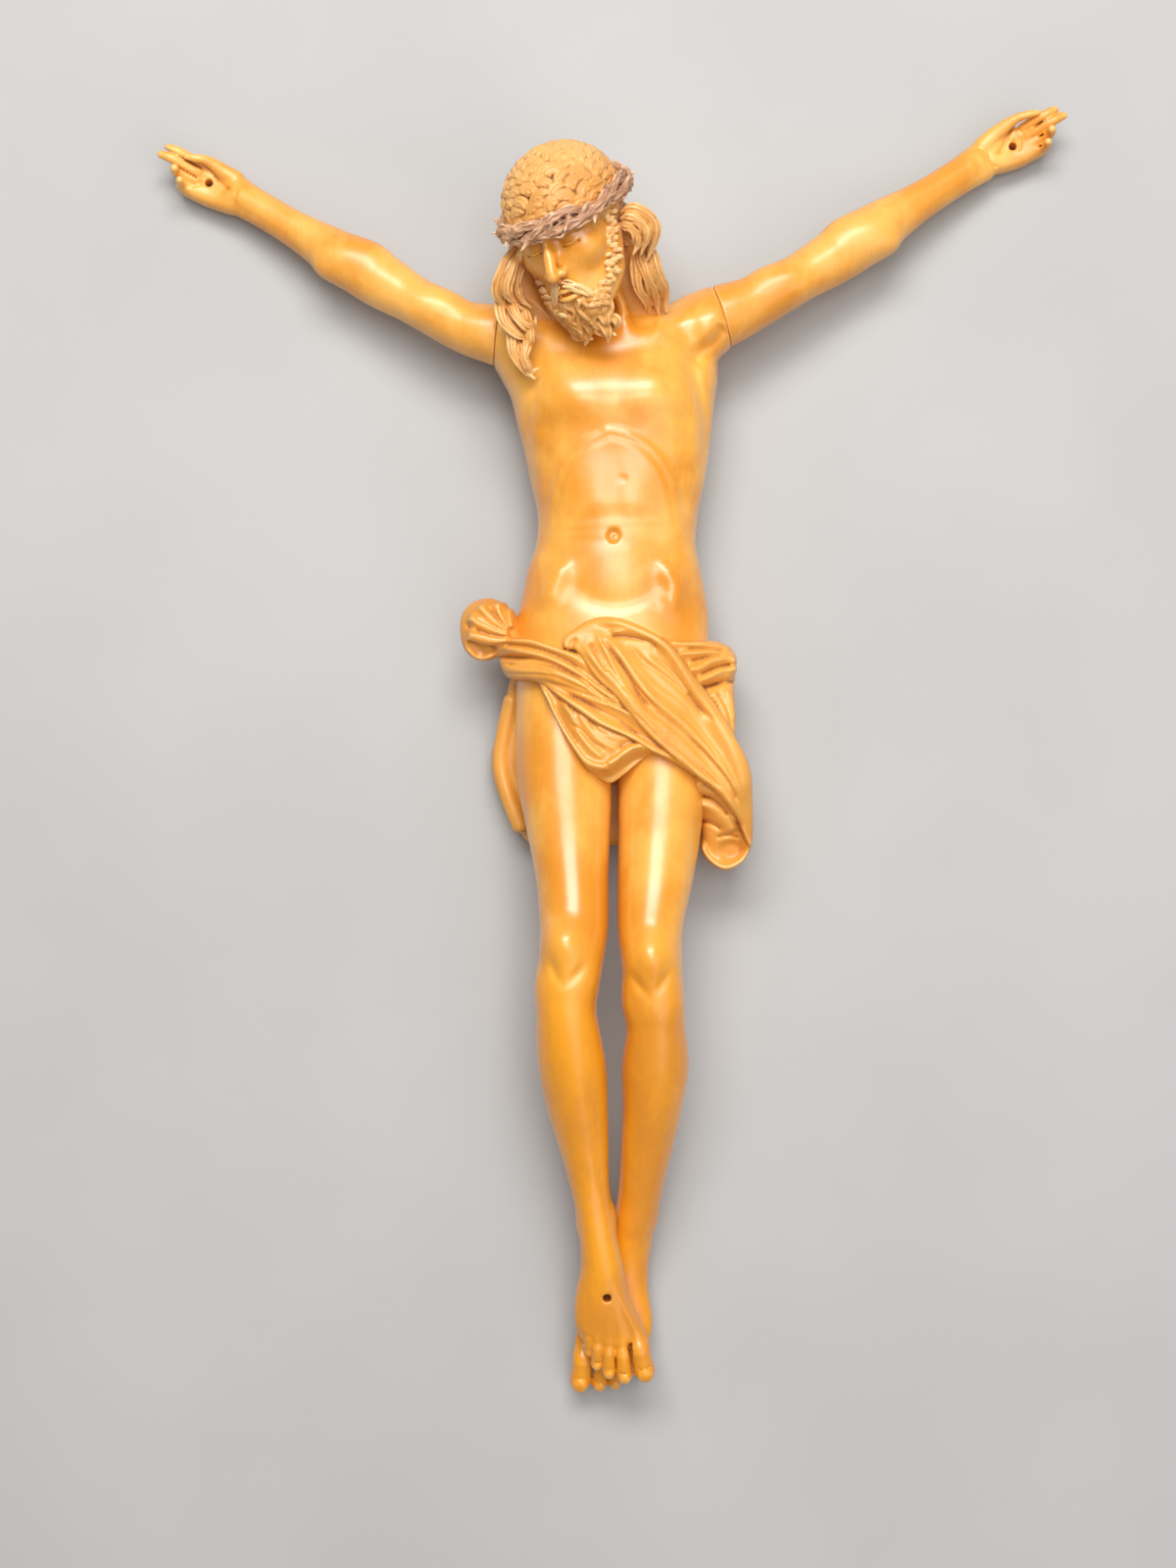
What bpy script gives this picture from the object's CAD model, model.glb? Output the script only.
import math

import bpy
import numpy as np
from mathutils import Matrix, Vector


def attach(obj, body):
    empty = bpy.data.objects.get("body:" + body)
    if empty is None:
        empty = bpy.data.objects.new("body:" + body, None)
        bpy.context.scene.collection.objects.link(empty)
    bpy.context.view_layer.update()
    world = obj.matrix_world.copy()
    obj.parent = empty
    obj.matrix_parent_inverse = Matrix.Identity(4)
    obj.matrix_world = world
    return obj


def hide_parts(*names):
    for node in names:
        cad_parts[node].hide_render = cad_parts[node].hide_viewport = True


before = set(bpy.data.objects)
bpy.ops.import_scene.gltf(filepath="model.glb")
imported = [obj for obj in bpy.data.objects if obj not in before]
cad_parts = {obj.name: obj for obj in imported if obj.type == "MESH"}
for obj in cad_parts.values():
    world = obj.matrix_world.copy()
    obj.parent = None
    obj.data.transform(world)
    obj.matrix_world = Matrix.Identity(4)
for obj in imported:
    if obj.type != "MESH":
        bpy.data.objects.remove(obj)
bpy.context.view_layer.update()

# Units and grids
# The carving is worked out in millimetres of the figure: X to its left, Y up its body, Z its front.

MM = 0.001
# The figure's own zero, in the part's frame
MIDDLE = np.array([0.0, -1.66, 0.0])
# Distance that stands for empty space
FAR = 60.0
# Height of the flat back above the plane that the figure lies on
BACK = 0.02
# Steps of the grids
BODY_STEP = 0.5
CLOTH_STEP = 0.45
ARM_STEP = 0.4
HAIR_STEP = 0.33
HEAD_STEP = 0.3


def smooth(points, each=5):
    """A smooth curve through rows of numbers, with so many steps from row to row."""
    rows = np.asarray(points, float)
    ends = np.vstack([2 * rows[0] - rows[1], rows, 2 * rows[-1] - rows[-2]])
    t = np.linspace(0, 1, each, endpoint=False)[:, None]
    spans = [
        0.5 * (2 * b + (c - a) * t + (2 * a - 5 * b + 4 * c - d) * t**2 + (3 * b - a - 3 * c + d) * t**3)
        for a, b, c, d in zip(ends[:-3], ends[1:-2], ends[2:-1], ends[3:])
    ]
    return np.vstack(spans + [rows[-1:]])


def soft_min(a, b, blend):
    if blend <= 0:
        return np.minimum(a, b)
    near = np.maximum(blend - np.abs(a - b), 0) / blend
    return np.minimum(a, b) - near * near * (blend / 4)


def soft_max(a, b, blend):
    return -soft_min(-a, -b, blend)


def ease(v):
    v = np.clip(v, 0, 1)
    return v * v * (3 - 2 * v)


def from_round(a, b, half_width, half_depth, power):
    """Distance from a rounded section, a and b being shares of its half width and half depth."""
    if power == 2.0:
        q = np.sqrt(a * a + b * b)
        g = np.sqrt((a / half_width) ** 2 + (b / half_depth) ** 2) / np.maximum(q, 1e-3)
    else:
        q = (a**power + b**power) ** (1 / power)
        g = np.sqrt((a ** (power - 1) / half_width) ** 2 + (b ** (power - 1) / half_depth) ** 2)
        g = g / np.maximum(q, 1e-3) ** (power - 1)
    return (q - 1) / np.maximum(g, 1e-3)


def nearest(x, y, line):
    """Distance from a line of points, the side of it, and the share of the way along it."""
    line = np.asarray(line, float)[:, :2]
    steps = np.hypot(*(line[1:] - line[:-1]).T)
    gone = np.concatenate([[0], np.cumsum(steps)])
    x, y = np.broadcast_arrays(x, y)
    best = np.full(x.shape, 1e6)
    side = np.zeros(x.shape)
    share = np.zeros(x.shape)
    for i, (a, b) in enumerate(zip(line[:-1], line[1:])):
        d = b - a
        t = np.clip(((x - a[0]) * d[0] + (y - a[1]) * d[1]) / max(d @ d, 1e-9), 0, 1)
        ox = x - a[0] - t * d[0]
        oy = y - a[1] - t * d[1]
        far = np.hypot(ox, oy)
        closer = far < best
        best = np.where(closer, far, best)
        side = np.where(closer, np.sign(d[0] * oy - d[1] * ox), side)
        share = np.where(closer, (gone[i] + t * steps[i]) / gone[-1], share)
    return best, side, share


class Carving:
    """Wood as a field of distances on a grid: below zero is inside."""

    def __init__(self, low, high, step):
        self.step = step
        self.low = np.array(low, float)
        self.count = np.ceil((np.array(high) - self.low) / self.step).astype(int) + 1
        self.axes = [self.low[i] + self.step * np.arange(self.count[i]) for i in range(3)]
        self.field = np.full(self.count, FAR, np.float32)

    def window(self, low, high, spare):
        spare = spare + 2 * self.step
        first = np.floor((np.asarray(low) - spare - self.low) / self.step).astype(int)
        last = np.ceil((np.asarray(high) + spare - self.low) / self.step).astype(int) + 1
        first = np.clip(first, 0, self.count)
        last = np.clip(last, first, self.count)
        cells = tuple(slice(a, b) for a, b in zip(first, last))
        x, y, z = (axis[cell].astype(np.float32) for axis, cell in zip(self.axes, cells))
        return cells, x[:, None, None], y[None, :, None], z[None, None, :]

    def merge(self, cells, other, blend=0.0, cut=False):
        if cut:
            self.field[cells] = soft_max(self.field[cells], -other, blend)
        else:
            self.field[cells] = soft_min(self.field[cells], other, blend)

    def ball(self, centre, halves, blend=0.0, cut=False, turn=None):
        """An ellipsoid, with its own axes as the rows of turn."""
        centre = np.asarray(centre, float)
        halves = np.asarray(halves, float)
        reach = halves if turn is None else np.sqrt(((np.asarray(turn) * halves[:, None]) ** 2).sum(0))
        cells, x, y, z = self.window(centre - reach, centre + reach, blend + 1)
        off = [x - centre[0], y - centre[1], z - centre[2]]
        if turn is not None:
            off = [sum(row[i] * off[i] for i in range(3)) for row in np.asarray(turn)]
        a, b, c = [o / h for o, h in zip(off, halves)]
        q = np.sqrt(a * a + b * b + c * c)
        g = np.sqrt((a / halves[0]) ** 2 + (b / halves[1]) ** 2 + (c / halves[2]) ** 2)
        self.merge(cells, ((q - 1) * q / np.maximum(g, 1e-4)).astype(np.float32), blend, cut)

    def rope(self, points, radii, blend=0.0, flat=1.0, facing=(0, 0, 1), cut=False):
        """Wood along a line of points, thinner by flat in the direction it faces."""
        points = np.asarray(points, np.float32)
        radii = np.broadcast_to(np.asarray(radii, np.float32), len(points))
        spare = float(radii.max()) + blend + 1
        cells, *_ = self.window(points.min(0), points.max(0), spare)
        near = np.full([c.stop - c.start for c in cells], FAR, np.float32)
        facing = np.asarray(facing, np.float32)
        facing = facing / np.linalg.norm(facing)
        for a, b, ra, rb in zip(points[:-1], points[1:], radii[:-1], radii[1:]):
            part, x, y, z = self.window(np.minimum(a, b), np.maximum(a, b), max(ra, rb) + blend + 1)
            inner = tuple(slice(p.start - c.start, p.stop - c.start) for p, c in zip(part, cells))
            d = b - a
            x, y, z = x - a[0], y - a[1], z - a[2]
            t = np.clip((x * d[0] + y * d[1] + z * d[2]) / max(float(d @ d), 1e-6), 0, 1)
            x, y, z = x - t * d[0], y - t * d[1], z - t * d[2]
            square = x * x + y * y + z * z
            if flat != 1.0:
                out = x * facing[0] + y * facing[1] + z * facing[2]
                square = square + out * out * (1 / flat**2 - 1)
            near[inner] = np.minimum(near[inner], np.sqrt(square) - (ra + t * (rb - ra)))
        self.merge(cells, near, blend, cut)

    def limb(self, stations, along=(0, 1), power=2.0, blend=0.0, round_ends=3.0, swell=None):
        """A body around stations x, y, z, half width, half depth, which run along one direction."""
        rows = smooth(stations, 6)
        ex, ey = np.asarray(along, float) / np.hypot(*along)
        s = rows[:, 0] * ex + rows[:, 1] * ey
        rows = rows[np.argsort(s)]
        s = np.sort(s)
        side = rows[:, 1] * ex - rows[:, 0] * ey
        half_width = rows[:, 3] * np.sqrt(1 + np.gradient(side, s) ** 2)
        half_depth = rows[:, 4] * np.sqrt(1 + np.gradient(rows[:, 2], s) ** 2)
        reach = rows[:, 3:5].max() * 1.15
        low, high = rows[:, :3].min(0) - reach, rows[:, :3].max(0) + reach
        cells, x, y, z = self.window(low, high, blend + 1)
        at = (x * ex + y * ey)[:, :, 0]
        off = (y * ex - x * ey)[:, :, 0]
        w = np.interp(at, s, half_width)[:, :, None]
        d = np.interp(at, s, half_depth)[:, :, None]
        middle = np.interp(at, s, rows[:, 2])[:, :, None]
        aside = np.abs((off - np.interp(at, s, side))[:, :, None] / w).astype(np.float32)
        rise = ((z - middle) / d).astype(np.float32)
        far = from_round(aside, np.abs(rise), w, d, power)
        if swell is not None:
            far = far - swell(x[:, :, 0], y[:, :, 0], rise)
        ends = np.maximum(s[0] - at, at - s[-1])[:, :, None]
        far = soft_max(far, np.broadcast_to(ends, far.shape), round_ends)
        self.merge(cells, far.astype(np.float32), blend)

    def press(self, line, width, depth, front):
        """A groove along a line x, y, which deepens between the two heights of front."""
        spare = 3 * width
        low = [line[:, 0].min(), line[:, 1].min(), front[0]]
        high = [line[:, 0].max(), line[:, 1].max(), self.axes[2][-1]]
        cells, x, y, z = self.window(low, high, spare)
        far, _, share = nearest(x[:, :, 0], y[:, :, 0], line)
        fade = ease(share / 0.15) * ease((1 - share) / 0.15)
        mark = depth * np.exp(-((far / width) ** 2)) * fade
        gate = ease((z - front[0]) / (front[1] - front[0]))
        self.field[cells] += (mark[:, :, None] * gate).astype(np.float32)

    def raised(self, marks, low, high, gate):
        """Moves the surface out by marks(x, y), where gate(z) is open."""
        cells, x, y, z = self.window(low, high, 0)
        self.field[cells] -= (marks(x[:, :, 0], y[:, :, 0])[:, :, None] * gate(z)).astype(np.float32)

    def bore(self, x0, y0, radius):
        """A straight hole through the whole depth."""
        reach = radius + 2
        low = [x0 - reach, y0 - reach, self.axes[2][0]]
        high = [x0 + reach, y0 + reach, self.axes[2][-1]]
        cells, x, y, z = self.window(low, high, 0)
        wall = radius - np.hypot(x - x0, y - y0) + 0 * z
        self.field[cells] = np.maximum(self.field[cells], wall.astype(np.float32))

    def keep(self, normal, through, gap=0.0, blend=0.0):
        """Keeps what lies behind a plane."""
        normal = np.asarray(normal, float) / np.linalg.norm(normal)
        x, y, z = (axis.astype(np.float32) for axis in self.axes)
        plane = (
            (x - through[0])[:, None, None] * normal[0]
            + (y - through[1])[None, :, None] * normal[1]
            + (z - through[2])[None, None, :] * normal[2]
            + gap
        ).astype(np.float32)
        self.field = soft_max(self.field, plane, blend)

    def flatten_back(self):
        self.keep((0, 0, -1), (0, 0, BACK))

    def shade(self, radius):
        """Share of wood around each grid point, from a box of that radius."""
        wood = np.clip(0.5 - self.field / (1.6 * self.step), 0, 1).astype(np.float32)
        half = max(1, int(round(0.7 * radius / self.step)))
        for axis in (0, 1, 2, 0, 1, 2):
            total = np.cumsum(wood, axis=axis, dtype=np.float32)
            size = wood.shape[axis]
            at = np.arange(size)
            above = np.take(total, np.minimum(at + half, size - 1), axis=axis)
            under = np.take(total, np.maximum(at - half - 1, 0), axis=axis)
            clear = (at - half - 1 < 0).reshape([-1 if i == axis else 1 for i in range(3)])
            wood = (above - np.where(clear, 0, under)) / (2 * half + 1)
        return wood

    def skin(self):
        """Points and four-sided faces of the surface."""
        f = self.field
        f[0], f[-1] = FAR, FAR
        f[:, 0], f[:, -1] = FAR, FAR
        f[:, :, 0], f[:, :, -1] = FAR, FAR
        inside = f < 0
        some, every = inside, inside
        for axis in range(3):
            head, tail = neighbours(axis, slice(None))
            some = some[head] | some[tail]
            every = every[head] & every[tail]
        cells = np.argwhere(some & ~every)
        number = np.full(some.shape, -1, np.int32)
        number[tuple(cells.T)] = np.arange(len(cells))
        return self.low + self.step * (cells + self.crossings(cells)), quads(inside, number)

    def crossings(self, cells):
        """Mean place, within each cell, where the surface crosses the cell's edges."""
        corners = [np.array([i >> 2 & 1, i >> 1 & 1, i & 1]) for i in range(8)]
        values = [self.field[tuple((cells + corner).T)] for corner in corners]
        total = np.zeros((len(cells), 3))
        met = np.zeros(len(cells))
        for i in range(8):
            for bit in (1, 2, 4):
                j = i | bit
                if j == i:
                    continue
                a, b = values[i], values[j]
                crosses = (a < 0) != (b < 0)
                t = np.where(crosses, a / np.where(crosses, a - b, 1), 0)
                spot = corners[i] + t[:, None] * (corners[j] - corners[i])
                total += np.where(crosses[:, None], spot, 0)
                met += crosses
        return total / met[:, None]

    def at(self, values, points):
        """Grid values at points, blended from the eight grid points around each."""
        place = (points - self.low) / self.step
        whole = np.clip(place.astype(int), 0, np.array(values.shape) - 2)
        part = place - whole
        total = 0
        for i in (0, 1):
            for j in (0, 1):
                for k in (0, 1):
                    weight = np.prod(np.abs(part - (1 - i, 1 - j, 1 - k)), axis=1)
                    total = total + weight * values[whole[:, 0] + i, whole[:, 1] + j, whole[:, 2] + k]
        return total


def neighbours(axis, others):
    """Indices of the near and the far one of each two grid points in a row."""
    head, tail = [others] * 3, [others] * 3
    head[axis], tail[axis] = slice(None, -1), slice(1, None)
    return tuple(head), tuple(tail)


def quads(inside, number):
    """A four-sided face around each grid edge that passes through the surface."""
    faces = []
    for axis in range(3):
        head, tail = neighbours(axis, slice(1, -1))
        change = inside[head].astype(np.int8) - inside[tail].astype(np.int8)
        other = [i for i in range(3) if i != axis]
        for sign in (1, -1):
            at = np.argwhere(change == sign)
            at[:, other] += 1
            ring = []
            for p, q in ((0, 0), (1, 0), (1, 1), (0, 1)):
                cell = at.copy()
                cell[:, other[0]] -= 1 - p
                cell[:, other[1]] -= 1 - q
                ring.append(number[tuple(cell.T)])
            turned = sign == (1 if axis != 1 else -1)
            faces.append(np.stack(ring if turned else ring[::-1], axis=1))
    return np.vstack(faces)


def build_mesh(name, points, faces, marks):
    """A mesh of four-sided faces, with a value of each mark at each point."""
    mesh = bpy.data.meshes.new(name)
    mesh.vertices.add(len(points))
    mesh.vertices.foreach_set("co", points.astype(np.float32).ravel())
    mesh.loops.add(faces.size)
    mesh.loops.foreach_set("vertex_index", faces.astype(np.int32).ravel())
    mesh.polygons.add(len(faces))
    mesh.polygons.foreach_set("loop_start", np.arange(0, faces.size, 4, dtype=np.int32))
    for mark, values in marks.items():
        shares = mesh.attributes.new(mark, "FLOAT", "POINT")
        shares.data.foreach_set("value", values.astype(np.float32))
    mesh.update(calc_edges=True)
    mesh.validate()
    return mesh


def thin_out(piece, share):
    """Leaves only this share of the piece's triangles."""
    dense = piece.data
    thin = piece.modifiers.new("thin", "DECIMATE")
    thin.ratio = share
    graph = bpy.context.evaluated_depsgraph_get()
    thinned = bpy.data.meshes.new_from_object(piece.evaluated_get(graph))
    piece.modifiers.clear()
    piece.data = thinned
    bpy.data.meshes.remove(dense)


def make_piece(name, nodes, carving, wood, limit, place=None):
    """A carving as a piece in the part's frame, thinned to so many triangles."""
    shades = {"near": carving.shade(1.2), "wide": carving.shade(4.0)}
    points, faces = carving.skin()
    marks = {mark: carving.at(values, points) for mark, values in shades.items()}
    spots = points if place is None else points @ place[0] + place[1]
    piece = bpy.data.objects.new(name, build_mesh(name, (spots + MIDDLE) * MM, faces, marks))
    bpy.context.collection.objects.link(piece)
    triangles = 2 * len(faces)
    if triangles > limit:
        thin_out(piece, limit / triangles)
    piece.data.shade_smooth()
    piece.data.materials.append(wood)
    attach(piece, "root")
    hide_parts(*nodes)


# Places taken from the photograph: its pixels, at a height above the resting plane

EYE = (-8.0, -11.0, 800.0)
PHOTO_WIDTH = 1200
PHOTO_HEIGHT = 1600
# Width of a pixel at a distance of one
PIXEL = 0.3132 / 770


def seen(pixels, height=43.0):
    """Figure places x, y of photograph pixels."""
    size = PIXEL * (EYE[2] - height)
    return [(EYE[0] + (x - PHOTO_WIDTH / 2) * size, EYE[1] + (PHOTO_HEIGHT / 2 - y) * size)
            for x, y in pixels]


def placed(points):
    """Figure places of photograph pixels, each with its height."""
    return np.array([(*seen([(x, y)], z)[0], z) for x, y, z in points])


def gathered(x, y, folds):
    """Rise of folds side by side: each has a line, half widths along it, a rise and a roundness."""
    sharp = 2.4
    total = 1.0
    for line, half, rise, power in folds:
        far, _, share = nearest(x, y, smooth(seen(line), 4))
        half = np.atleast_1d(half)
        wide = np.interp(share, np.linspace(0, 1, len(half)), half)
        height = rise * ease(share / 0.12) * ease((1 - share) / 0.12) * np.exp(-((far / wide) ** power))
        total = total + np.exp(sharp * height) - 1
    return np.log(total) / sharp


def creases(x, y, lines):
    """Soft lines at places in the photograph, each with its width and rise."""
    return sum(stroke(x, y, seen(line), width, depth) for line, width, depth in lines)


def stroke(x, y, line, width, depth, ends=0.12):
    """Rise of a soft line, or its depth below zero, ending in nothing."""
    far, _, share = nearest(x, y, smooth(line, 4))
    return depth * ease(share / ends) * ease((1 - share) / ends) * np.exp(-((far / width) ** 2))


def swelling(x, y, cx, cy, rx, ry, height):
    """Rise of a round swelling, or of a hollow with a height below zero."""
    return height * np.exp(-(((x - cx) / rx) ** 2) - ((y - cy) / ry) ** 2)


def within(x, y, outline):
    """Distance inside an outline of points, below zero outside it."""
    ring = np.asarray(outline, float)
    ring = np.vstack([ring, ring[:1]])
    far, _, _ = nearest(x, y, ring)
    x, y = np.broadcast_arrays(x, y)
    odd = np.zeros(x.shape, bool)
    for (ax, ay), (bx, by) in zip(ring[:-1], ring[1:]):
        if ay == by:
            continue
        crosses = (ay > y) != (by > y)
        odd ^= crosses & (x < ax + (y - ay) * (bx - ax) / (by - ay))
    return np.where(odd, far, -far)


def within_seen(x, y, outline):
    """Distance inside a smooth outline of places in the photograph."""
    return within(x, y, smooth(seen(outline + outline[:1]), 3)[:-1])


def upper(rise):
    """Opens over the front half of a round body."""
    return np.sqrt(np.clip(rise, 0, 1))


# Torso, neck and shoulders

# Seams between torso and arms: a place, the tilt in degrees, and the side as the sign of x
SEAMS = {"right": ((-38.6, 121.5), -6, -1), "left": ((40.6, 122.0), 18, 1)}
SEAM_GAP = 0.14

# Stations of limbs: x, y, z, half width, half depth
TORSO = [
    (-4, 145, 21, 13, 8),
    (-3, 138, 21, 32, 13),
    (-2.2, 131, 21.5, 37.4, 16.5),
    (-2.2, 125, 22, 35.6, 18.5),
    (-0.2, 115, 23, 33, 20),
    (0.6, 105, 23, 31.3, 19.6),
    (1.3, 95, 23, 29.6, 18),
    (1.5, 85, 23, 27.8, 17.2),
    (1.6, 76, 23, 25.8, 16.8),
    (1, 66, 23, 25.5, 16.4),
    (0.4, 57, 22.8, 27.7, 17),
    (0.3, 47, 22.5, 30, 18),
    (-0.4, 37, 22, 31.4, 19),
    (0.6, 27, 22, 29, 18.5),
    (1, 18, 22, 24, 16),
]

RIGHT_ARM = [
    (-27, 130.5, 22, 9.6, 10),
    (-39, 134.4, 23, 9.5, 10.4),
    (-50.5, 137.7, 22, 8, 9.2),
    (-63.9, 145.3, 20.4, 7.7, 8.4),
    (-77, 153.5, 18.3, 9, 8.6),
    (-90.5, 161.9, 15.4, 7.8, 7.8),
    (-104.1, 170.5, 12.3, 5.9, 6.2),
    (-118, 179.2, 9.2, 5.7, 5),
    (-127, 184.4, 7.2, 6.6, 4.8),
]
LEFT_ARM = [
    (22, 134.5, 22, 9.8, 10),
    (34, 139.4, 23.6, 10.2, 10.4),
    (46.6, 144.9, 22.4, 8.5, 9.2),
    (60, 152.5, 20.6, 7.8, 8.4),
    (73.6, 161, 18.3, 8.8, 8.6),
    (86.3, 169.9, 15.8, 8.4, 8),
    (99.7, 178.9, 12.8, 6.3, 6.4),
    (113.1, 187.8, 9.9, 5.8, 5.2),
    (123, 194.6, 7.4, 6.6, 4.8),
]

# Outline of the belly under the arch of the ribs
ABDOMEN = [
    (-19.6, 66), (-20.8, 74), (-19.9, 80.6), (-17.9, 86.7), (-14.8, 92.7), (-9.7, 97), (-4, 99.8),
    (-1.2, 101), (5.5, 99.4), (11.4, 96.2), (15.6, 92), (19.1, 86), (21.1, 79), (22, 72), (21.6, 66),
]
# Swellings and hollows of the trunk: middle x, y, reach across and along, height
TRUNK_SWELLINGS = [
    (-12.5, 110, 14, 10.5, 2.7),
    (13, 111.5, 14, 10.5, 2.7),
    (0.4, 113, 6, 14, -0.8),
    (-17, 92, 9, 10, 0.6),
    (18, 92, 9, 10, 0.6),
    (0.4, 60, 13, 10, 2.0),
    (-25, 57, 7, 9, 1.2),
    (25, 57, 7, 9, 1.2),
    (-5.6, 81, 6.4, 10, 0.55),
    (6.2, 81, 6.4, 10, 0.55),
    (-18.6, 67.3, 5, 5.5, 0.8),
    (19.4, 67.3, 5, 5.5, 0.8),
    (3.0, 85, 1.8, 1.4, -0.35),
    (25.2, 123, 3.4, 7, -2.2),
    (-24.6, 118, 3.2, 6, -1.4),
]
# Soft lines of the trunk: places, width, height
TRUNK_LINES = [
    ([(-28, 99), (-20, 102), (-12, 102.6), (-4, 102), (0, 100)], 4.2, -0.8),
    ([(30, 101), (22, 104), (14, 104.4), (5, 103), (1, 100)], 4.2, -0.8),
    ([(-0.2, 97), (0.3, 84), (0.4, 70)], 2.6, -0.3),
    ([(-20, 74.6), (-8, 73), (0.4, 73.4), (9, 73), (20, 74.6)], 3.2, -0.6),
    ([(-13, 60), (-10.6, 49.5), (0.3, 45.5), (11, 49.5), (14, 60)], 3.4, -0.8),
    ([(-14.6, 62), (-15.7, 58.4), (-18.8, 52.3), (-20.8, 46.3), (-21, 42)], 3.6, 2.0),
    ([(14, 62), (15.6, 58.4), (19.4, 52.3), (18.6, 46), (15, 41)], 3.6, 2.0),
    ([(-24, 115), (-26.4, 107), (-27.4, 100.8), (-26.8, 91), (-25.6, 82.6), (-23.4, 74)], 2.1, -1.3),
    ([(24, 126), (25.6, 119), (28.1, 110), (29.2, 102.8), (28.6, 86)], 2.0, -1.6),
]


def torso_relief(x, y, rise):
    """Chest, rib arch, belly, ribs at the sides and navel."""
    made = sum(swelling(x, y, *row) for row in TRUNK_SWELLINGS)
    inside = within(x, y, smooth(ABDOMEN, 3)[:-1])
    fading = ease((y - 62) / 16)
    made += (1.5 * ease(inside / 4.6) + 0.75 * np.exp(-(((inside - 0.8) / 1.3) ** 2))) * fading
    made += sum(stroke(x, y, line, width, depth, 0.35) for line, width, depth in TRUNK_LINES)
    for side, height in ((-1, 0), (1, 2)):
        for k in range(4):
            top = 101 + height - 8.4 * k
            line = [(side * 26.6, top - 0.8), (side * 23, top + 1.4), (side * 18.4, top + 0.6)]
            made += stroke(x, y, line, 2.6, -0.42, 0.4)
    far = np.hypot(x - 0.1, (y - 67.4) * 0.94)
    made -= 1.7 * np.exp(-((far / 2.0) ** 4))
    made += 0.9 * np.exp(-((np.hypot(x - 0.5, y - 66.8) / 1.2) ** 2))
    return made[:, :, None] * upper(rise)


def carve_torso():
    """Trunk, neck and shoulders, as far as the seams with the arms."""
    neck = [(-3, 134, 21), (-6, 147, 29), (-9, 155, 38), (-12, 163, 47)]
    shoulder_slope = [(-6, 147.5, 22), (6, 140.5, 21), (17, 135.4, 21), (27, 139, 22)]
    wood = Carving((-44, 16, -1), (45, 166, 60), BODY_STEP)
    wood.limb(TORSO, power=2.33, swell=torso_relief)
    wood.rope(smooth(neck, 3), 9.6, 4)
    wood.rope(smooth(shoulder_slope, 3), 6, 7)
    wood.limb(RIGHT_ARM[:4], along=(37, 15), blend=5)
    wood.limb(LEFT_ARM[:4], along=(38, 18), blend=5)
    wood.ball((-28.6, 130, 27), (7.8, 6.4, 8.4), 5)
    wood.ball((30, 135.4, 27), (7.4, 6.6, 8.8), 5)
    carve_collar(wood)
    for name in SEAMS:
        cut_seam(wood, name, SEAM_GAP, 1)
    wood.flatten_back()
    return wood


def carve_collar(wood):
    """Collarbones, the muscle at the neck's side and the grooves around the left shoulder."""
    left_collarbone = [(-4.6, 126.8, 35.8), (5.4, 130, 36.2), (15, 132.2, 34.7), (22, 135, 32)]
    right_collarbone = [(-14, 128, 35), (-22, 130.6, 33.2), (-29, 134, 30)]
    neck_muscle = [(-1.6, 149, 41.2), (2.6, 141, 37.6), (3.6, 134, 35.6)]
    armpit_groove = [(35.6, 135.5), (32.4, 130.6), (28, 127), (24.6, 122.5)]
    neck_hollow = [(6.4, 139), (9, 135.4), (14, 134.6)]
    wood.rope(smooth(left_collarbone, 3), 0.9, 5.5)
    wood.rope(smooth(right_collarbone, 3), 1.2, 5.5)
    wood.rope(smooth(neck_muscle, 3), 1.5, 5)
    wood.press(smooth(armpit_groove, 4), 2.4, 1.3, front=(24, 30))
    wood.press(smooth(neck_hollow, 3), 2.6, 0.9, front=(24, 32))


def cut_seam(wood, name, gap, keep):
    """Keeps the wood on the trunk's side of a seam, or on the arm's side where keep is -1."""
    (x, y), tilt, side = SEAMS[name]
    turn = math.radians(tilt)
    out = np.array([side * math.cos(turn), side * math.sin(turn), 0]) * keep
    wood.keep(out, (x, y, 0), gap, 0.5)


# Legs and feet

RIGHT_LEG = [
    (-16, 24, 20, 15, 16),
    (-16, 14, 22, 15.3, 16),
    (-15.5, -8, 26, 15.3, 16),
    (-14.3, -25, 31, 13.4, 14.2),
    (-13, -41, 36.5, 11.5, 12.8),
    (-12.4, -56, 42, 10.8, 11.6),
    (-13.5, -69, 45.8, 9.9, 10.4),
    (-14.6, -79, 45, 9.1, 10),
    (-14.3, -88, 42.4, 10, 10.5),
    (-12.9, -101, 38, 10.8, 10.8),
    (-11.4, -114, 34, 9.7, 9.6),
    (-9.5, -126, 30.8, 8, 8.2),
    (-7.6, -139, 28, 6.3, 7.2),
]
LEFT_LEG = [
    (16, 24, 20, 15, 16),
    (16, 14, 22, 15.3, 16),
    (16, -8, 25, 14.6, 16),
    (15, -25, 30, 13.2, 14.2),
    (13.4, -41, 35.5, 12, 12.8),
    (11.6, -56, 41, 10.3, 11.6),
    (12, -69, 44.8, 9.5, 10.4),
    (12.9, -79, 44, 8.9, 10),
    (13.4, -88, 40.8, 9.4, 10.5),
    (13.3, -101, 36, 10.7, 10.8),
    (12.5, -114, 31.5, 9.5, 9.6),
    (11.1, -126, 27, 8.5, 8.2),
    (9.4, -139, 22, 7.4, 7.2),
]
RIGHT_FOOT = [
    (-6.1, -147, 27, 5.8, 7),
    (-4.7, -156, 26, 6.0, 7.4),
    (-3.5, -166, 24.6, 6.9, 7.2),
    (-3.4, -175, 23, 8.5, 6.2),
    (-2, -183, 21.6, 10.1, 5.2),
    (0.2, -190, 20.6, 10.2, 3.8),
    (0.8, -194, 20, 8.6, 2.8),
]
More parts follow.
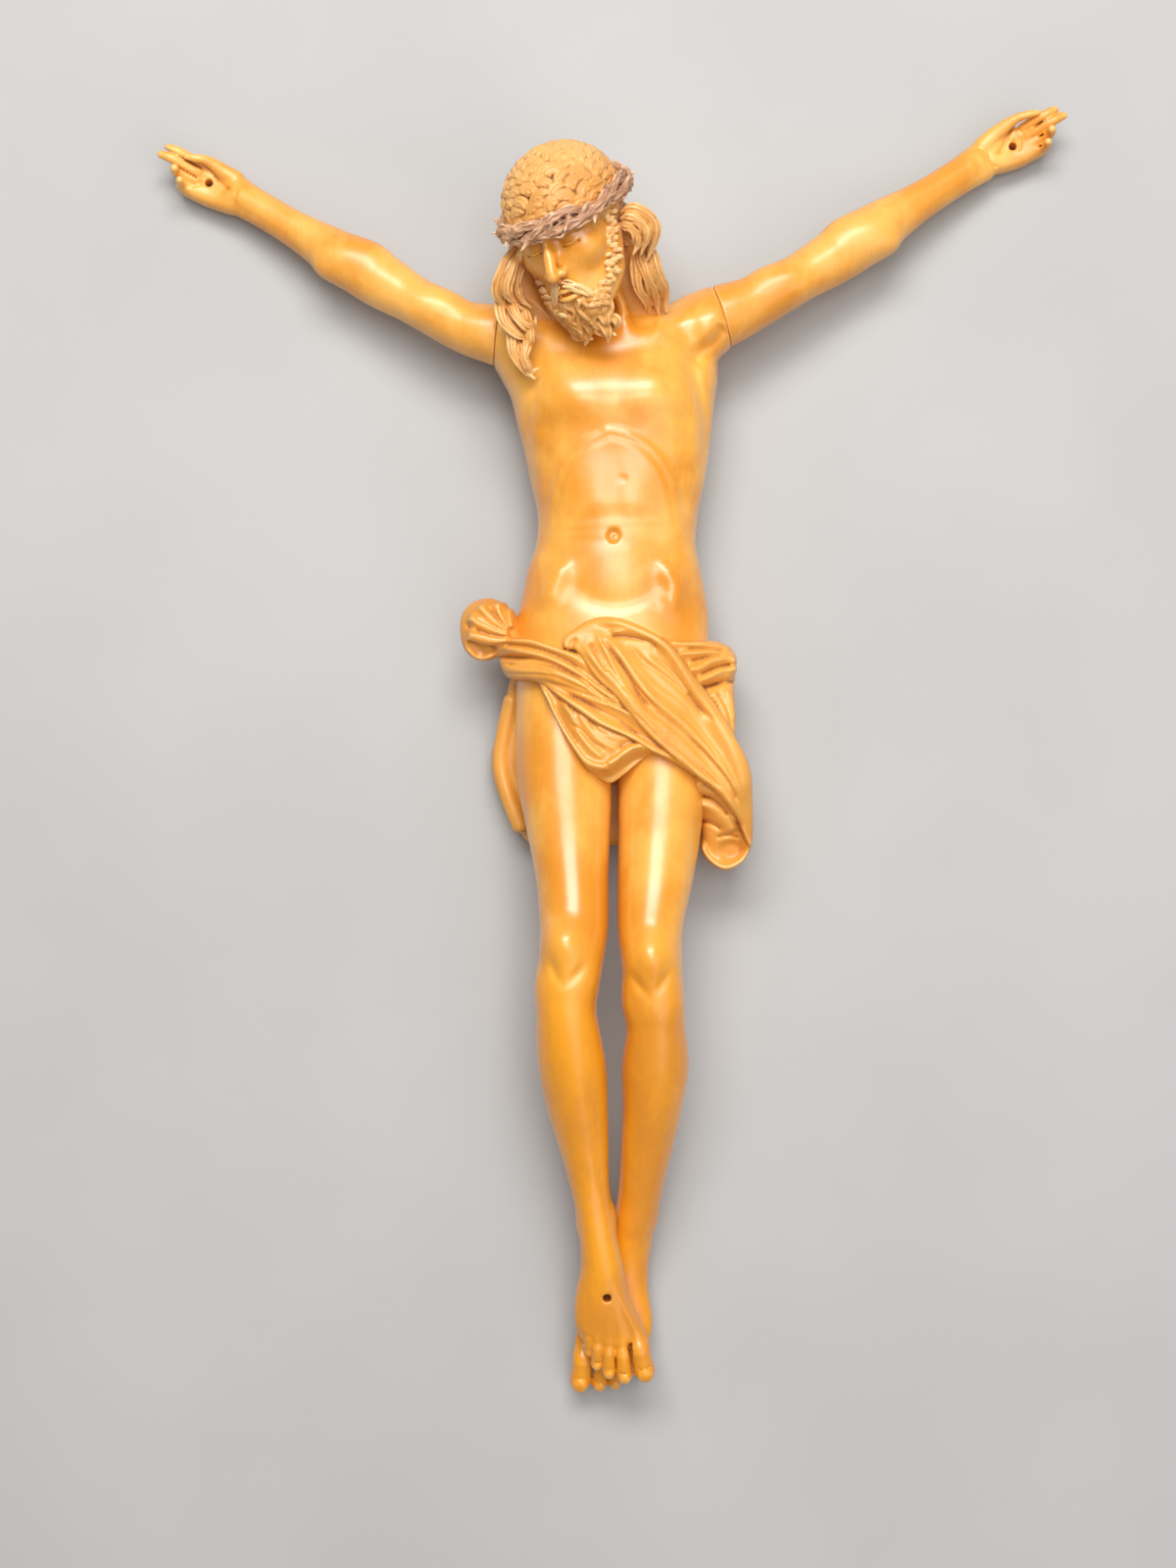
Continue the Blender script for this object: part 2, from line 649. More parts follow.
LEFT_FOOT = [
    (7.9, -149, 17.4, 7.1, 7),
    (5.8, -158, 13.2, 7.4, 7.4),
    (3.8, -168, 11, 8.0, 6.4),
    (2.5, -176, 10.6, 9.1, 5.4),
    (1.2, -187, 10.2, 11.7, 4.4),
    (-0.6, -196, 9.8, 11.6, 3.6),
    (-1, -201, 9.6, 9.4, 2.8),
]
# Rows of toes: foot end x, y, then tip x, y, then half width
RIGHT_TOES = [
    (7.8, -189, 10.3, -201, 3.5),
    (2.9, -190.4, 3.8, -202.6, 2.5),
    (-1.4, -190, -1.2, -201.3, 2.25),
    (-5.0, -188.6, -5.1, -198.8, 2.0),
    (-8.0, -186, -7.5, -194.6, 1.75),
]
LEFT_TOES = [
    (-9.2, -195, -10.5, -206.8, 3.6),
    (-3.6, -198, -4.2, -207.8, 2.5),
    (1.4, -198, 0.8, -207.4, 2.3),
    (6, -195, 5.6, -204, 2.0),
    (9.4, -192, 9.6, -200, 1.9),
]


def carve_toe(wood, row, base, tip):
    """A toe that rises to its knuckle and bends down again, with a nail."""
    x, y, end_x, end_y, half = row
    knuckle = (x + 0.42 * (end_x - x), y + 0.42 * (end_y - y), base + 1.5)
    line = smooth([(x, y, base - 0.6), knuckle, (end_x, end_y, tip)], 4)
    wood.rope(line, np.interp(np.arange(9), (0, 3, 5, 8), half * np.array([0.86, 0.98, 0.88, 1.0])), 0.5)
    way = np.array([end_x - x, end_y - y]) / np.hypot(end_x - x, end_y - y)
    across = np.array([way[1], -way[0], 0])
    turn = [across, (way[0] * 0.88, way[1] * 0.88, -0.475), (way[0] * 0.475, way[1] * 0.475, 0.88)]
    nail = np.array([end_x + way[0] * half * 0.3, end_y + way[1] * half * 0.3, tip + half * 0.74])
    wood.ball(nail, (half * 0.74, half * 0.8, half * 0.42), 0.12, turn=turn)
    cuticle = nail - np.array([way[0], way[1], 0]) * half * 0.8 + (0, 0, half * 0.26)
    side = across * half * 0.5
    wood.rope([cuticle - side, cuticle, cuticle + side], 0.22, 0.2, cut=True)


FOOT_NAIL = (-1.9, -175.6, 1.4)
LEGS_BOX = ((-40, -213, -1), (42, 34, 60))

# Grooves around the kneecaps, as places in the photograph
RIGHT_KNEE = [
    [(561, 964), (562.8, 979.5), (567.4, 995), (574.4, 1006), (574.8, 1014)],
    [(597, 970), (594, 986), (583, 999), (575, 1006), (574.8, 1014)],
]
LEFT_KNEE = [
    [(643, 982), (646, 995), (654, 1007), (664, 1020), (665, 1028)],
    [(684, 973), (681.5, 990), (674, 1005), (666, 1019), (665, 1028)],
]


def knee_relief(cap, grooves):
    """Hollows to both sides of the kneecap, which meet over the tendon below it."""
    def relief(x, y):
        made = swelling(x, y, cap[0], cap[1] + 0.6, 4.2, 4.4, 1.1)
        return made + sum(stroke(x, y, seen(line, 51), 1.6, -1.0, 0.6) for line in grooves)
    return relief


def carve_knee(wood, cap, grooves):
    """Kneecap, the tendon below it and the pads beside that."""
    x, y, z = cap
    wood.ball(cap, (5.2, 6.4, 5.2), 6)
    wood.ball((x - 4.6, y - 14, z - 7.6), (2.6, 4.4, 4.6), 7)
    wood.ball((x + 4.2, y - 14.4, z - 7.6), (2.6, 4.4, 4.6), 7)
    low, high = (x - 12, y - 24, 30), (x + 12, y + 14, 60)
    wood.raised(knee_relief(cap, grooves), low, high, lambda height: ease((height - 34) / 10))


def carve_top_foot(wood):
    """Ankle bones, tendons and knuckles of the foot that lies on top."""
    for row in RIGHT_TOES:
        carve_toe(wood, row, 20.6, 19.4)
    wood.ball((-9.4, -152, 23), (1.4, 3, 3), 4)
    wood.ball((-1.4, -150, 24.4), (1.4, 3, 3), 4)
    for k, (x, y, *_) in enumerate(RIGHT_TOES):
        line = [(-3.8 + 0.9 * (2 - k), -166, 29.4), (0.55 * x - 1.2, -178, 26.8), (x, y + 1, 23)]
        wood.rope(smooth(line, 3), np.linspace(0.4, 1.0, 7), 2.0)
        wood.ball((x, y - 0.6, 22.8), (1.6, 2.2, 1.6), 1.0)
    wood.ball((6.2, -193, 21.6), (1.3, 2.6, 2.2), 1.0, cut=True)


def carve_legs():
    """Both legs and feet, the right foot on top of the left one, with one nail hole."""
    wood = Carving(*LEGS_BOX, BODY_STEP)
    wood.limb(LEFT_LEG + LEFT_FOOT, round_ends=2.5)
    carve_knee(wood, (11.4, -64.6, 51), LEFT_KNEE)
    shin = [(12.8, -88, 46), (12.8, -105, 42), (11.4, -126, 31), (9.4, -140, 22), (8, -153, 13)]
    wood.rope(smooth(shin, 4), 1.4, 6)
    for row in LEFT_TOES:
        carve_toe(wood, row, 9.8, 8.6)
    wood.ball((11.8, -151, 14), (1.5, 3, 3), 4)
    wood.ball((6.2, -158, 5.6), (6, 6.5, 6.4), 4)
    upper_leg = Carving(*LEGS_BOX, BODY_STEP)
    upper_leg.limb(RIGHT_LEG + RIGHT_FOOT, round_ends=2.5)
    carve_knee(upper_leg, (-15.2, -60.8, 51.2), RIGHT_KNEE)
    shin = [(-14.4, -88, 48), (-12.6, -105, 43.4), (-9.6, -126, 35), (-7.4, -140, 28), (-6, -153, 21)]
    upper_leg.rope(smooth(shin, 4), 1.4, 6)
    carve_top_foot(upper_leg)
    wood.field = soft_min(wood.field, upper_leg.field, 0.6)
    wood.bore(*FOOT_NAIL)
    wood.flatten_back()
    return wood


# Arms and hands
# Hands are places in the photograph: pixels for outlines and creases, pixels and heights for fingers.

PALM_FACE = 11
PALM_MIDDLE = 9
PALM_BORE = 1.3
RIGHT_NAIL = (-132.4, 186.1)
LEFT_NAIL = (131.3, 198.1)

RIGHT_PALM = [
    (258, 190), (246, 181), (236, 175), (226, 170), (216, 166), (207, 164), (202, 169), (198, 178),
    (194, 186), (186, 188), (178, 187), (182, 194), (191, 200), (205, 207), (218, 212), (232, 216.5),
    (243, 217), (254, 222),
]
RIGHT_FINGERS = [
    ([(204, 167, 9.4), (193, 161, 11), (181, 154.6, 12.4), (172, 151, 12.6)], (1.8, 1.75, 1.7, 1.4)),
    ([(202, 175.6, 9.4), (188, 168.6, 11), (176, 161.8, 12.6), (164.6, 157.6, 12.8)], (1.9, 1.85, 1.7, 1.3)),
    ([(199, 183, 9), (188, 178.4, 10.4), (179.6, 175.6, 12.6), (178, 171.4, 16)], (1.9, 1.75, 1.6, 1.3)),
    ([(194, 190, 8.4), (187, 187.4, 10), (183.6, 186.4, 12.4), (183.4, 183.4, 15.2)], (1.7, 1.5, 1.4, 1.2)),
    ([(240, 184, 8.4), (227, 175, 9.6), (216.5, 167, 11.4), (207, 162.6, 13), (198, 161.2, 13.8),
      (190.4, 159.8, 13.8)], (3.2, 2.6, 1.9, 1.5, 1.3, 1.0)),
]
RIGHT_SLITS = [
    [(168, 153.4), (180, 159), (193, 165.6), (205, 171)],
    [(182, 171), (191, 175.8), (200, 180.6)],
    [(188, 186.6), (196, 191)],
]
RIGHT_LINES = [
    [(188, 161), (197, 164), (207, 166), (215, 171), (222, 182), (230, 191), (239, 196)],
    [(204, 170), (210, 174), (216, 178)],
    [(199, 180), (204, 184), (206, 190)],
    [(244, 189), (251, 184)],
    [(236, 209), (241, 203), (244, 196)],
]
LEFT_PALM = [
    (996, 148), (1008, 137), (1020, 128), (1030, 124), (1036, 128), (1046, 130), (1054, 129),
    (1058, 133), (1060, 140), (1064, 146), (1072, 149), (1067, 156), (1056, 162), (1044, 168.4),
    (1026, 174), (1014, 176), (1005, 180), (996, 184),
]
LEFT_FINGERS = [
    ([(1044, 131, 9.4), (1055, 124, 11), (1066, 117.6, 12.4), (1076, 112.4, 12.6)], (1.8, 1.75, 1.7, 1.35)),
    ([(1048, 139, 9.4), (1060, 131.6, 11), (1073, 124, 12.6), (1085, 118, 12.8)], (1.9, 1.8, 1.65, 1.3)),
    ([(1052, 147, 9), (1063, 140.6, 10.4), (1071.6, 136, 12.6), (1073.4, 131.6, 16)], (1.9, 1.75, 1.6, 1.3)),
    ([(1054, 154, 8.4), (1063, 150.4, 10), (1069, 148, 12.4), (1069.6, 144.4, 15.2)], (1.7, 1.5, 1.4, 1.2)),
    ([(1003, 150, 8.4), (1014, 138.6, 9.6), (1026, 128.6, 11.4), (1037, 121, 13), (1048, 117.2, 13.8),
      (1058.6, 115, 13.8)], (3.3, 2.7, 2.1, 1.5, 1.3, 1.0)),
]
LEFT_SLITS = [
    [(1053, 131.6), (1062, 126), (1071, 120), (1079, 114.4)],
    [(1056, 141.4), (1062, 139), (1067.6, 136.4)],
    [(1055, 151.4), (1063, 148.6)],
]
LEFT_LINES = [
    [(1034, 124), (1031, 132), (1027, 142), (1022, 153), (1016, 158)],
    [(1035.4, 140), (1034.6, 149)],
    [(1039.6, 136), (1042, 146), (1041, 156)],
    [(1006.6, 154), (1010, 162), (1014, 168), (1021, 170)],
    [(999, 146), (1002, 149)],
]


def carve_arm(name, stations, hand, box, nail):
    """An arm with its hand, which ends at the shoulder's seam."""
    palm, fingers, slits, lines = hand
    wood = Carving(*box, ARM_STEP)
    way = np.subtract(stations[-1][:2], stations[0][:2])
    way = way / np.hypot(*way)
    wood.limb(stations, along=way)
    carve_muscles(wood, stations, np.array([-way[1], way[0]]))
    carve_palm(wood, palm, lines, nail)
    for line, halves in fingers:
        rows = smooth(placed(line), 4)
        share = np.linspace(0, 1, len(rows))
        wood.rope(rows, np.interp(share, np.linspace(0, 1, len(halves)), halves), 0.5)
    for line in slits:
        rows = smooth(seen(line, PALM_FACE), 3)
        rows = np.column_stack([rows, np.linspace(12.8, 10.6, len(rows))])
        wood.rope(rows, 0.36, 0.1, flat=4, cut=True)
    cut_seam(wood, name, 0.0, -1)
    wood.bore(*nail, PALM_BORE)
    wood.flatten_back()
    return wood


def carve_right_arm():
    box = ((-152, 118, -1), (-34, 202, 36))
    hand = (RIGHT_PALM, RIGHT_FINGERS, RIGHT_SLITS, RIGHT_LINES)
    return carve_arm("right", RIGHT_ARM, hand, box, RIGHT_NAIL)


def carve_left_arm():
    box = ((32, 122, -1), (152, 214, 36))
    hand = (LEFT_PALM, LEFT_FINGERS, LEFT_SLITS, LEFT_LINES)
    return carve_arm("left", LEFT_ARM, hand, box, LEFT_NAIL)


def carve_palm(wood, outline, lines, nail):
    """A flat palm inside its outline, hollow around the nail hole, with its creases."""
    places = np.array(seen(outline + outline[:1], PALM_MIDDLE))
    cells, x, y, z = wood.window((*places.min(0), -1), (*places.max(0), 20), 2)
    x, y = x[:, :, 0], y[:, :, 0]
    inside = within(x, y, smooth(places, 3)[:-1])[:, :, None]
    slab = soft_max(-inside, np.abs(z - 6.4) - 4.8, 4.4)
    wood.merge(cells, slab.astype(np.float32), 1.5)
    marks = swelling(x, y, nail[0], nail[1], 5.5, 4.2, -1.3)
    marks += stroke(x, y, seen(lines[0], PALM_FACE), 0.7, -0.9)
    marks += sum(stroke(x, y, seen(line, PALM_FACE), 0.4, -0.45, 0.3) for line in lines[1:])
    wood.field[cells] -= (marks[:, :, None] * ease((z - 6) / 3)).astype(np.float32)


def carve_muscles(wood, stations, side):
    """Biceps, the two bellies of the forearm, and the tendons that run to the wrist."""
    rows = np.array(stations, float)
    up = side if side[1] > 0 else -side

    def station(place):
        return np.array([np.interp(place, np.arange(len(rows)), rows[:, i]) for i in range(5)])

    upper_arm, fore, thin, wrist = station(2.6), station(4.6), station(6.0), station(7.4)
    wood.ball((*(upper_arm[:2] + up * 0.6), upper_arm[2] + 4.0), (8, 4.2, 4.4), 6)
    wood.ball((*(fore[:2] + up * 1.2), fore[2] + 3.2), (9, 4.2, 4.2), 6)
    wood.ball((*(fore[:2] - up * 2.0), fore[2] + 2.8), (9, 3.6, 3.8), 6)
    for offset in (-1.3, 1.0):
        start = (*(thin[:2] + up * offset), thin[2] + thin[4] * 0.6)
        end = (*(wrist[:2] + up * offset * 0.8), wrist[2] + wrist[4] * 0.8)
        wood.rope([start, end], 0.7, 2.4)


# Loincloth

CLOTH = [
    (0.2, 44, 21.5, 28, 16),
    (0.4, 35, 21.5, 34, 19.8),
    (1.8, 26, 21.5, 35.2, 20.6),
    (2.3, 18, 21.5, 35.6, 21),
    (3, 9, 21.5, 34.4, 21),
    (4, -6, 22, 34, 20.8),
    (5, -17, 23, 31, 19.5),
]
CLOTH_BEHIND = [
    (-1, 30, 11, 30.5, 11.4),
    (-1, 20, 10, 33.4, 10.4),
    (-1, 10, 9, 35.6, 9.2),
    (-1, -4, 8, 39, 8.4),
    (-1, -18, 7, 35, 7.4),
    (1, -31, 6.4, 28, 6.6),
]
HANGING_END = [
    (35.6, 30, 23, 2.6, 6),
    (35, 19, 25, 3.4, 10),
    (34.4, 9, 26, 6, 12),
    (35.6, 1, 26, 7.6, 13),
    (36.2, -7, 26, 8.8, 12.5),
    (36.2, -16, 25, 9.8, 11),
    (36.4, -25, 23, 9.8, 9.6),
    (37, -33, 21.6, 9, 7.8),
    (37.3, -39.4, 21.4, 7.6, 6),
    (37.2, -42.6, 21.4, 4.8, 4.2),
]
FLAP = [(-3, 12, 37, 15, 7), (-3, 0, 37, 12, 7), (-2, -9, 37, 5, 6.4)]

# Outlines of the cloth's layers, as places in the photograph
BELT_OUTLINE = [
    (506, 646), (521, 648), (541, 650), (558, 656), (576, 662), (594, 668), (614, 684),
    (642, 716), (670, 748), (711, 793), (692, 781), (668, 769), (640, 752), (612, 740), (592, 727),
    (574, 714), (556, 700), (540, 694), (524, 692), (514, 688), (508, 676), (505, 660),
]
FLAP_OUTLINE = [
    (546, 690), (549, 698), (558, 716), (567, 735), (575, 750), (585, 766), (594, 779), (601, 788),
    (611, 795), (623, 800), (636, 792), (650, 780), (663, 771), (672, 767), (640, 735), (590, 700),
]
UNDER_FLAP_OUTLINE = [
    (590, 780), (603, 784), (618, 786), (630, 780), (640, 772), (652, 767), (674, 766), (668, 772),
    (650, 784), (636, 798), (623, 806), (606, 800), (592, 788),
]
SHEET_OUTLINE = [
    (586, 664), (576, 662), (573, 655), (577, 647), (586, 641), (595, 634), (605, 630), (616, 628),
    (634, 630), (656, 639), (679, 653), (695, 671), (708, 689), (722, 707), (735, 726), (749, 749),
    (760, 767), (768, 786), (770, 806), (771.4, 840), (771, 862), (766, 862), (757, 842), (747, 827),
    (729, 805), (711, 793), (686, 772), (669, 757), (653, 741), (639, 724), (626, 708), (613, 697),
    (603, 685), (595, 672),
]
LOBES_OUTLINE = [
    (706, 790), (729, 802), (748, 826), (758, 841), (768, 846), (772, 862), (767, 876), (757, 886),
    (742, 891), (728, 884), (717, 871), (715, 847), (712, 815),
]
RIGHT_OUTLINE = [
    (672, 646), (690, 653), (712, 652), (734, 651), (750, 656), (756, 668), (755, 690), (753, 700),
    (752, 752), (740, 740), (718, 708), (700, 680), (684, 660),
]


def layer(x, y, outline, level, drop=1.0, lip=1.0):
    """Height of a layer of cloth with a rounded edge, dropping away outside its outline."""
    inside = within_seen(x, y, outline)
    edge = np.clip(inside / lip, 0, 1)
    return level - 9 * ease((0.1 - inside) / 1.1) - drop * (1 - np.sqrt(1 - (1 - edge) ** 2))


def belt_layer(x, y):
    made = layer(x, y, BELT_OUTLINE, 1.4)
    made += gathered(x, y, [
        ([(480, 641), (503, 646), (521, 651), (541, 653), (561, 660), (581, 668), (596, 678), (613, 695),
          (626, 706), (641, 720)], (1.7, 1.9, 1.7, 1.3), 1.8, 1.8),
        ([(484, 652), (503, 657), (521, 661), (537, 665), (558, 672), (575, 680), (591, 690),
          (610, 702), (628, 715), (642, 724)], (1.8, 2.1, 1.9, 1.3), 2.2, 1.7),
        ([(490, 669), (508, 677), (525, 681), (545, 683), (562, 687), (583, 694), (603, 702), (620, 711),
          (638, 724)], (2.8, 3.3, 3.1, 2.4, 1.6), 3.0, 2.6),
        ([(550, 697), (563, 704), (578, 714), (595, 726), (613, 739), (633, 749), (653, 757), (669, 767),
          (692, 778), (711, 792)], (1.5, 2.0, 2.3, 2.0, 1.4), 2.2, 2.2),
        ([(550, 692), (570, 698), (590, 706), (610, 714), (626, 720), (640, 728), (653, 740),
          (666, 750), (676, 759), (693, 774)], (1.3, 1.6, 1.6, 1.3), 2.3, 1.5),
    ])
    return made + creases(x, y, [
        ([(492, 662), (511, 668), (530, 670), (545, 671), (566, 678), (590, 691), (613, 709), (634, 720)],
         0.7, -1.2),
        ([(500, 672), (522, 677), (542, 676), (560, 679), (580, 686), (600, 696)], 0.45, -0.6),
        ([(505, 684), (525, 687), (546, 688), (566, 691), (586, 699), (606, 707)], 0.45, -0.5),
        ([(514, 675), (530, 680), (548, 682), (566, 686)], 0.35, -0.45),
        ([(552, 694), (576, 701), (600, 710), (620, 717), (640, 725), (658, 736), (672, 749)], 0.5, -0.9),
        ([(575, 706), (595, 715), (612, 725), (632, 736), (652, 751), (668, 761)], 0.5, -0.7),
        ([(500, 652), (520, 656), (540, 659), (560, 665), (580, 675), (596, 685)], 0.45, -0.8),
        ([(505, 646), (522, 647), (541, 649), (560, 656)], 0.3, -0.4),
        ([(600, 720), (618, 732), (638, 742), (656, 752)], 0.35, -0.4),
    ])


def flap_layer(x, y):
    made = layer(x, y, FLAP_OUTLINE, 1.0, drop=0.5)
    made += gathered(x, y, [
        ([(548, 694), (559, 716), (567, 735), (576, 750), (586, 765), (595, 776), (606, 781), (617, 782),
          (627, 776)], (1.0, 1.4, 1.6, 1.6, 1.3), 1.8, 2.0),
        ([(570, 712), (582, 729), (589, 744), (597, 757), (607, 768), (620, 776)], (1.2, 1.6, 1.5), 1.3, 1.5),
        ([(588, 726), (600, 743), (612, 756), (625, 763), (634, 765)], (1.2, 1.6, 1.5), 1.0, 1.5),
        ([(616, 782), (627, 776), (636, 769), (646, 763), (656, 762), (668, 765)], (1.2, 1.5, 1.2), 2.0, 1.8),
        ([(606, 740), (622, 751), (638, 755), (652, 757)], (1.2, 1.5, 1.3), 0.8, 1.6),
    ])
    made += creases(x, y, [
        ([(582, 738), (593, 746), (604, 757), (618, 766)], 0.6, -0.7),
        ([(562, 716), (572, 732), (580, 746), (590, 760)], 0.5, -0.6),
        ([(600, 734), (610, 745), (622, 751)], 0.4, -0.4),
        ([(632, 764), (641, 757), (650, 755)], 1.0, -0.8),
    ])
    under = within_seen(x, y, UNDER_FLAP_OUTLINE)
    return made - 3.4 * ease((under + 0.3) / 2.6) * (under > -0.3)


def sheet_layer(x, y):
    made = layer(x, y, SHEET_OUTLINE, 3.2, drop=0.6)
    made += gathered(x, y, [
        ([(582, 657), (592, 668), (602, 682), (613, 695), (626, 706), (639, 723), (653, 740), (669, 756),
          (686, 771), (711, 793), (733, 814), (752, 838)], (1.0, 1.3, 1.4, 1.4, 1.2), 1.3, 2.0),
        ([(594, 650), (603, 668), (618, 687), (633, 703), (646, 720), (658, 736), (673, 750), (688, 765),
          (704, 780), (721, 796), (742, 815), (758, 842)], (1.8, 2.2, 2.6, 3.2, 3.2, 2.2), 2.4, 2.2),
        ([(606, 640), (616, 660), (626, 681), (636, 698), (650, 718), (661, 730), (676, 741),
          (694, 756), (712, 775), (735, 800), (756, 830)], (1.2, 1.5, 1.7, 1.9, 1.6), 2.1, 1.4),
        ([(616, 647), (636, 673), (651, 695), (665, 712), (680, 725), (697, 739), (712, 754), (727, 771),
          (745, 796), (760, 826)], (1.6, 2.2, 2.6, 2.8, 2.2), 2.5, 1.7),
        ([(600, 638), (612, 634), (633, 636), (656, 645), (678, 658), (692, 675), (704, 693), (716, 711),
          (728, 728), (740, 748), (752, 772), (760, 800), (762, 830)],
         (1.4, 2.0, 2.4, 2.8, 3.6, 3.6, 3.0), 2.5, 2.4),
        ([(620, 645), (645, 643), (663, 647), (678, 657), (690, 672)], (1.0, 1.4, 1.2), 1.6, 1.5),
        ([(650, 664), (670, 682), (690, 700), (708, 720), (722, 740), (735, 760), (748, 786)],
         (1.6, 2.6, 3.0, 2.6), 1.0, 1.8),
        ([(640, 668), (656, 688), (672, 704), (690, 716), (708, 732)], (0.9, 1.1, 0.9), 0.9, 1.4),
    ])
    return made + creases(x, y, [
        ([(601, 655), (609, 670), (617, 682), (621, 687)], 0.6, -1.2),
        ([(611, 650), (625, 667), (639, 687), (652, 710), (664, 724)], 0.55, -1.0),
        ([(640, 658), (656, 674), (675, 688), (692, 702), (706, 716), (722, 734)], 0.9, -0.9),
        ([(620, 649), (641, 650), (662, 655), (672, 664)], 0.7, -1.2),
        ([(700, 706), (712, 720), (722, 730), (728, 737)], 0.7, -0.6),
        ([(628, 668), (642, 690), (655, 708), (672, 726)], 0.4, -0.6),
        ([(668, 744), (690, 763), (714, 784), (738, 806)], 0.5, -0.7),
        ([(700, 750), (722, 772), (744, 799), (754, 822)], 0.5, -0.7),
        ([(664, 668), (682, 682), (696, 698), (708, 714)], 0.4, -0.5),
        ([(646, 726), (662, 743), (680, 760), (698, 775)], 0.4, -0.5),
        ([(690, 726), (708, 742), (724, 762), (736, 780)], 0.4, -0.4),
        ([(589, 652), (584, 656), (583, 662), (587, 668)], 0.8, -0.9),
    ])


def lobes_layer(x, y):
    """The lower turns of the hanging end, inside the sheet's edge, and the pocket below them."""
    made = layer(x, y, LOBES_OUTLINE, -1.4, drop=1.4, lip=1.6)
    made += gathered(x, y, [
        ([(708, 795), (722, 804), (737, 815), (748, 828), (754, 843)], (1.6, 2.4, 2.0), 2.2, 2.0),
        ([(712, 822), (724, 825), (737, 832), (746, 842), (750, 852)], (1.8, 2.6, 2.0), 1.8, 2.2),
        ([(762, 842), (768, 856), (767, 870), (758, 882), (744, 888), (730, 883), (720, 870), (718, 856)],
         (1.2, 1.6, 1.7, 1.2), 2.4, 2.0),
    ])
    px, py = seen([(747, 868)], 30)[0]
    pocket = np.sqrt(((x - px) / 4.8) ** 2 + ((y - py) / 3.8) ** 2)
    made -= 1.6 * ease((1.15 - pocket) / 0.7)
    return made + creases(x, y, [
        ([(712, 811), (726, 814), (738, 823), (746, 834)], 0.6, -1.3),
        ([(716, 838), (728, 841), (739, 848)], 0.7, -1.2),
        ([(716, 800), (728, 809), (740, 820)], 0.4, -0.4),
        ([(733, 856), (746, 853), (758, 857)], 0.6, -1.0),
    ])


def right_layer(x, y):
    made = layer(x, y, RIGHT_OUTLINE, 1.2)
    made += gathered(x, y, [
        ([(680, 655), (700, 656), (718, 657), (738, 660), (752, 662)], (1.6, 1.9, 1.7), 1.7, 1.8),
        ([(690, 667), (708, 666), (727, 664), (745, 667), (755, 672)], (1.3, 1.6, 1.5), 1.8, 1.6),
        ([(700, 684), (715, 681), (729, 673), (747, 670), (755, 678)], (1.6, 2.0, 1.8), 2.3, 1.9),
        ([(708, 697), (724, 690), (737, 684), (752, 681), (756, 686)], (1.4, 1.7, 1.5), 2.0, 1.7),
        ([(724, 704), (735, 716), (742, 732), (746, 752)], (1.3, 1.7, 1.4), 1.2, 1.8),
        ([(740, 702), (748, 716), (752, 736)], (1.0, 1.4, 1.2), 0.9, 1.6),
    ])
    return made + creases(x, y, [
        ([(712, 703), (728, 698), (742, 694), (754, 694)], 0.9, -1.7),
        ([(700, 661), (720, 661), (742, 663)], 0.5, -0.7),
        ([(704, 674), (722, 670), (740, 668)], 0.5, -0.7),
        ([(714, 688), (732, 680), (750, 676)], 0.5, -0.7),
        ([(732, 704), (742, 722), (748, 744)], 0.5, -0.8),
    ])


def raise_folds(wood):
    """Lays the layers of the front over the rounds of the hips, and bares the thighs below them."""
    cells, x, y, z = wood.window((-54, -46, 4), (50, 54, 56), 0)
    flat_x, flat_y = x[:, :, 0], y[:, :, 0]
    layers = [belt_layer, flap_layer, sheet_layer, right_layer, lobes_layer]
    height = np.maximum.reduce([one(flat_x, flat_y) for one in layers])
    outlines = (BELT_OUTLINE, FLAP_OUTLINE, SHEET_OUTLINE, RIGHT_OUTLINE, LOBES_OUTLINE)
    cloth = np.maximum.reduce([within_seen(flat_x, flat_y, outline) for outline in outlines])
    raised = np.maximum(height, -6)[:, :, None] * ease((z - 14) / 8)
    field = wood.field[cells] - raised
    wall = np.minimum(-cloth[:, :, None] + 0.2, z - 3)
    wood.field[cells] = soft_max(field, wall, 1.4).astype(np.float32)


def knot_folds(x, y):
    """Leaf-like folds that fan out from the gather at the hip."""
    made = gathered(x, y, [
        ([(521, 651), (503, 652), (488, 649), (473, 645)], (0.9, 2.1, 2.3), 2.3, 1.9),
        ([(520, 647), (503, 641), (487, 633), (474, 627)], (0.8, 2.0, 2.4), 2.6, 1.7),
        ([(519, 644), (506, 634), (495, 624), (486, 613)], (0.8, 1.9, 2.3), 2.5, 1.7),
        ([(519, 641), (513, 630), (508, 620), (505, 611)], (0.8, 1.7, 2.1), 2.6, 1.7),
        ([(521, 640), (520, 632), (519, 625), (518, 617)], (0.8, 1.3, 1.5), 1.9, 1.6),
    ])
    return made + creases(x, y, [
        ([(517, 649), (500, 646), (482, 640)], 0.5, -0.8),
        ([(517, 645), (500, 637), (482, 629)], 0.5, -0.8),
        ([(517, 642), (506, 629), (496, 616)], 0.5, -0.8),
        ([(519, 640), (513, 628), (510, 616)], 0.4, -0.7),
        ([(476, 632), (477, 639)], 1.0, -1.4),
    ])


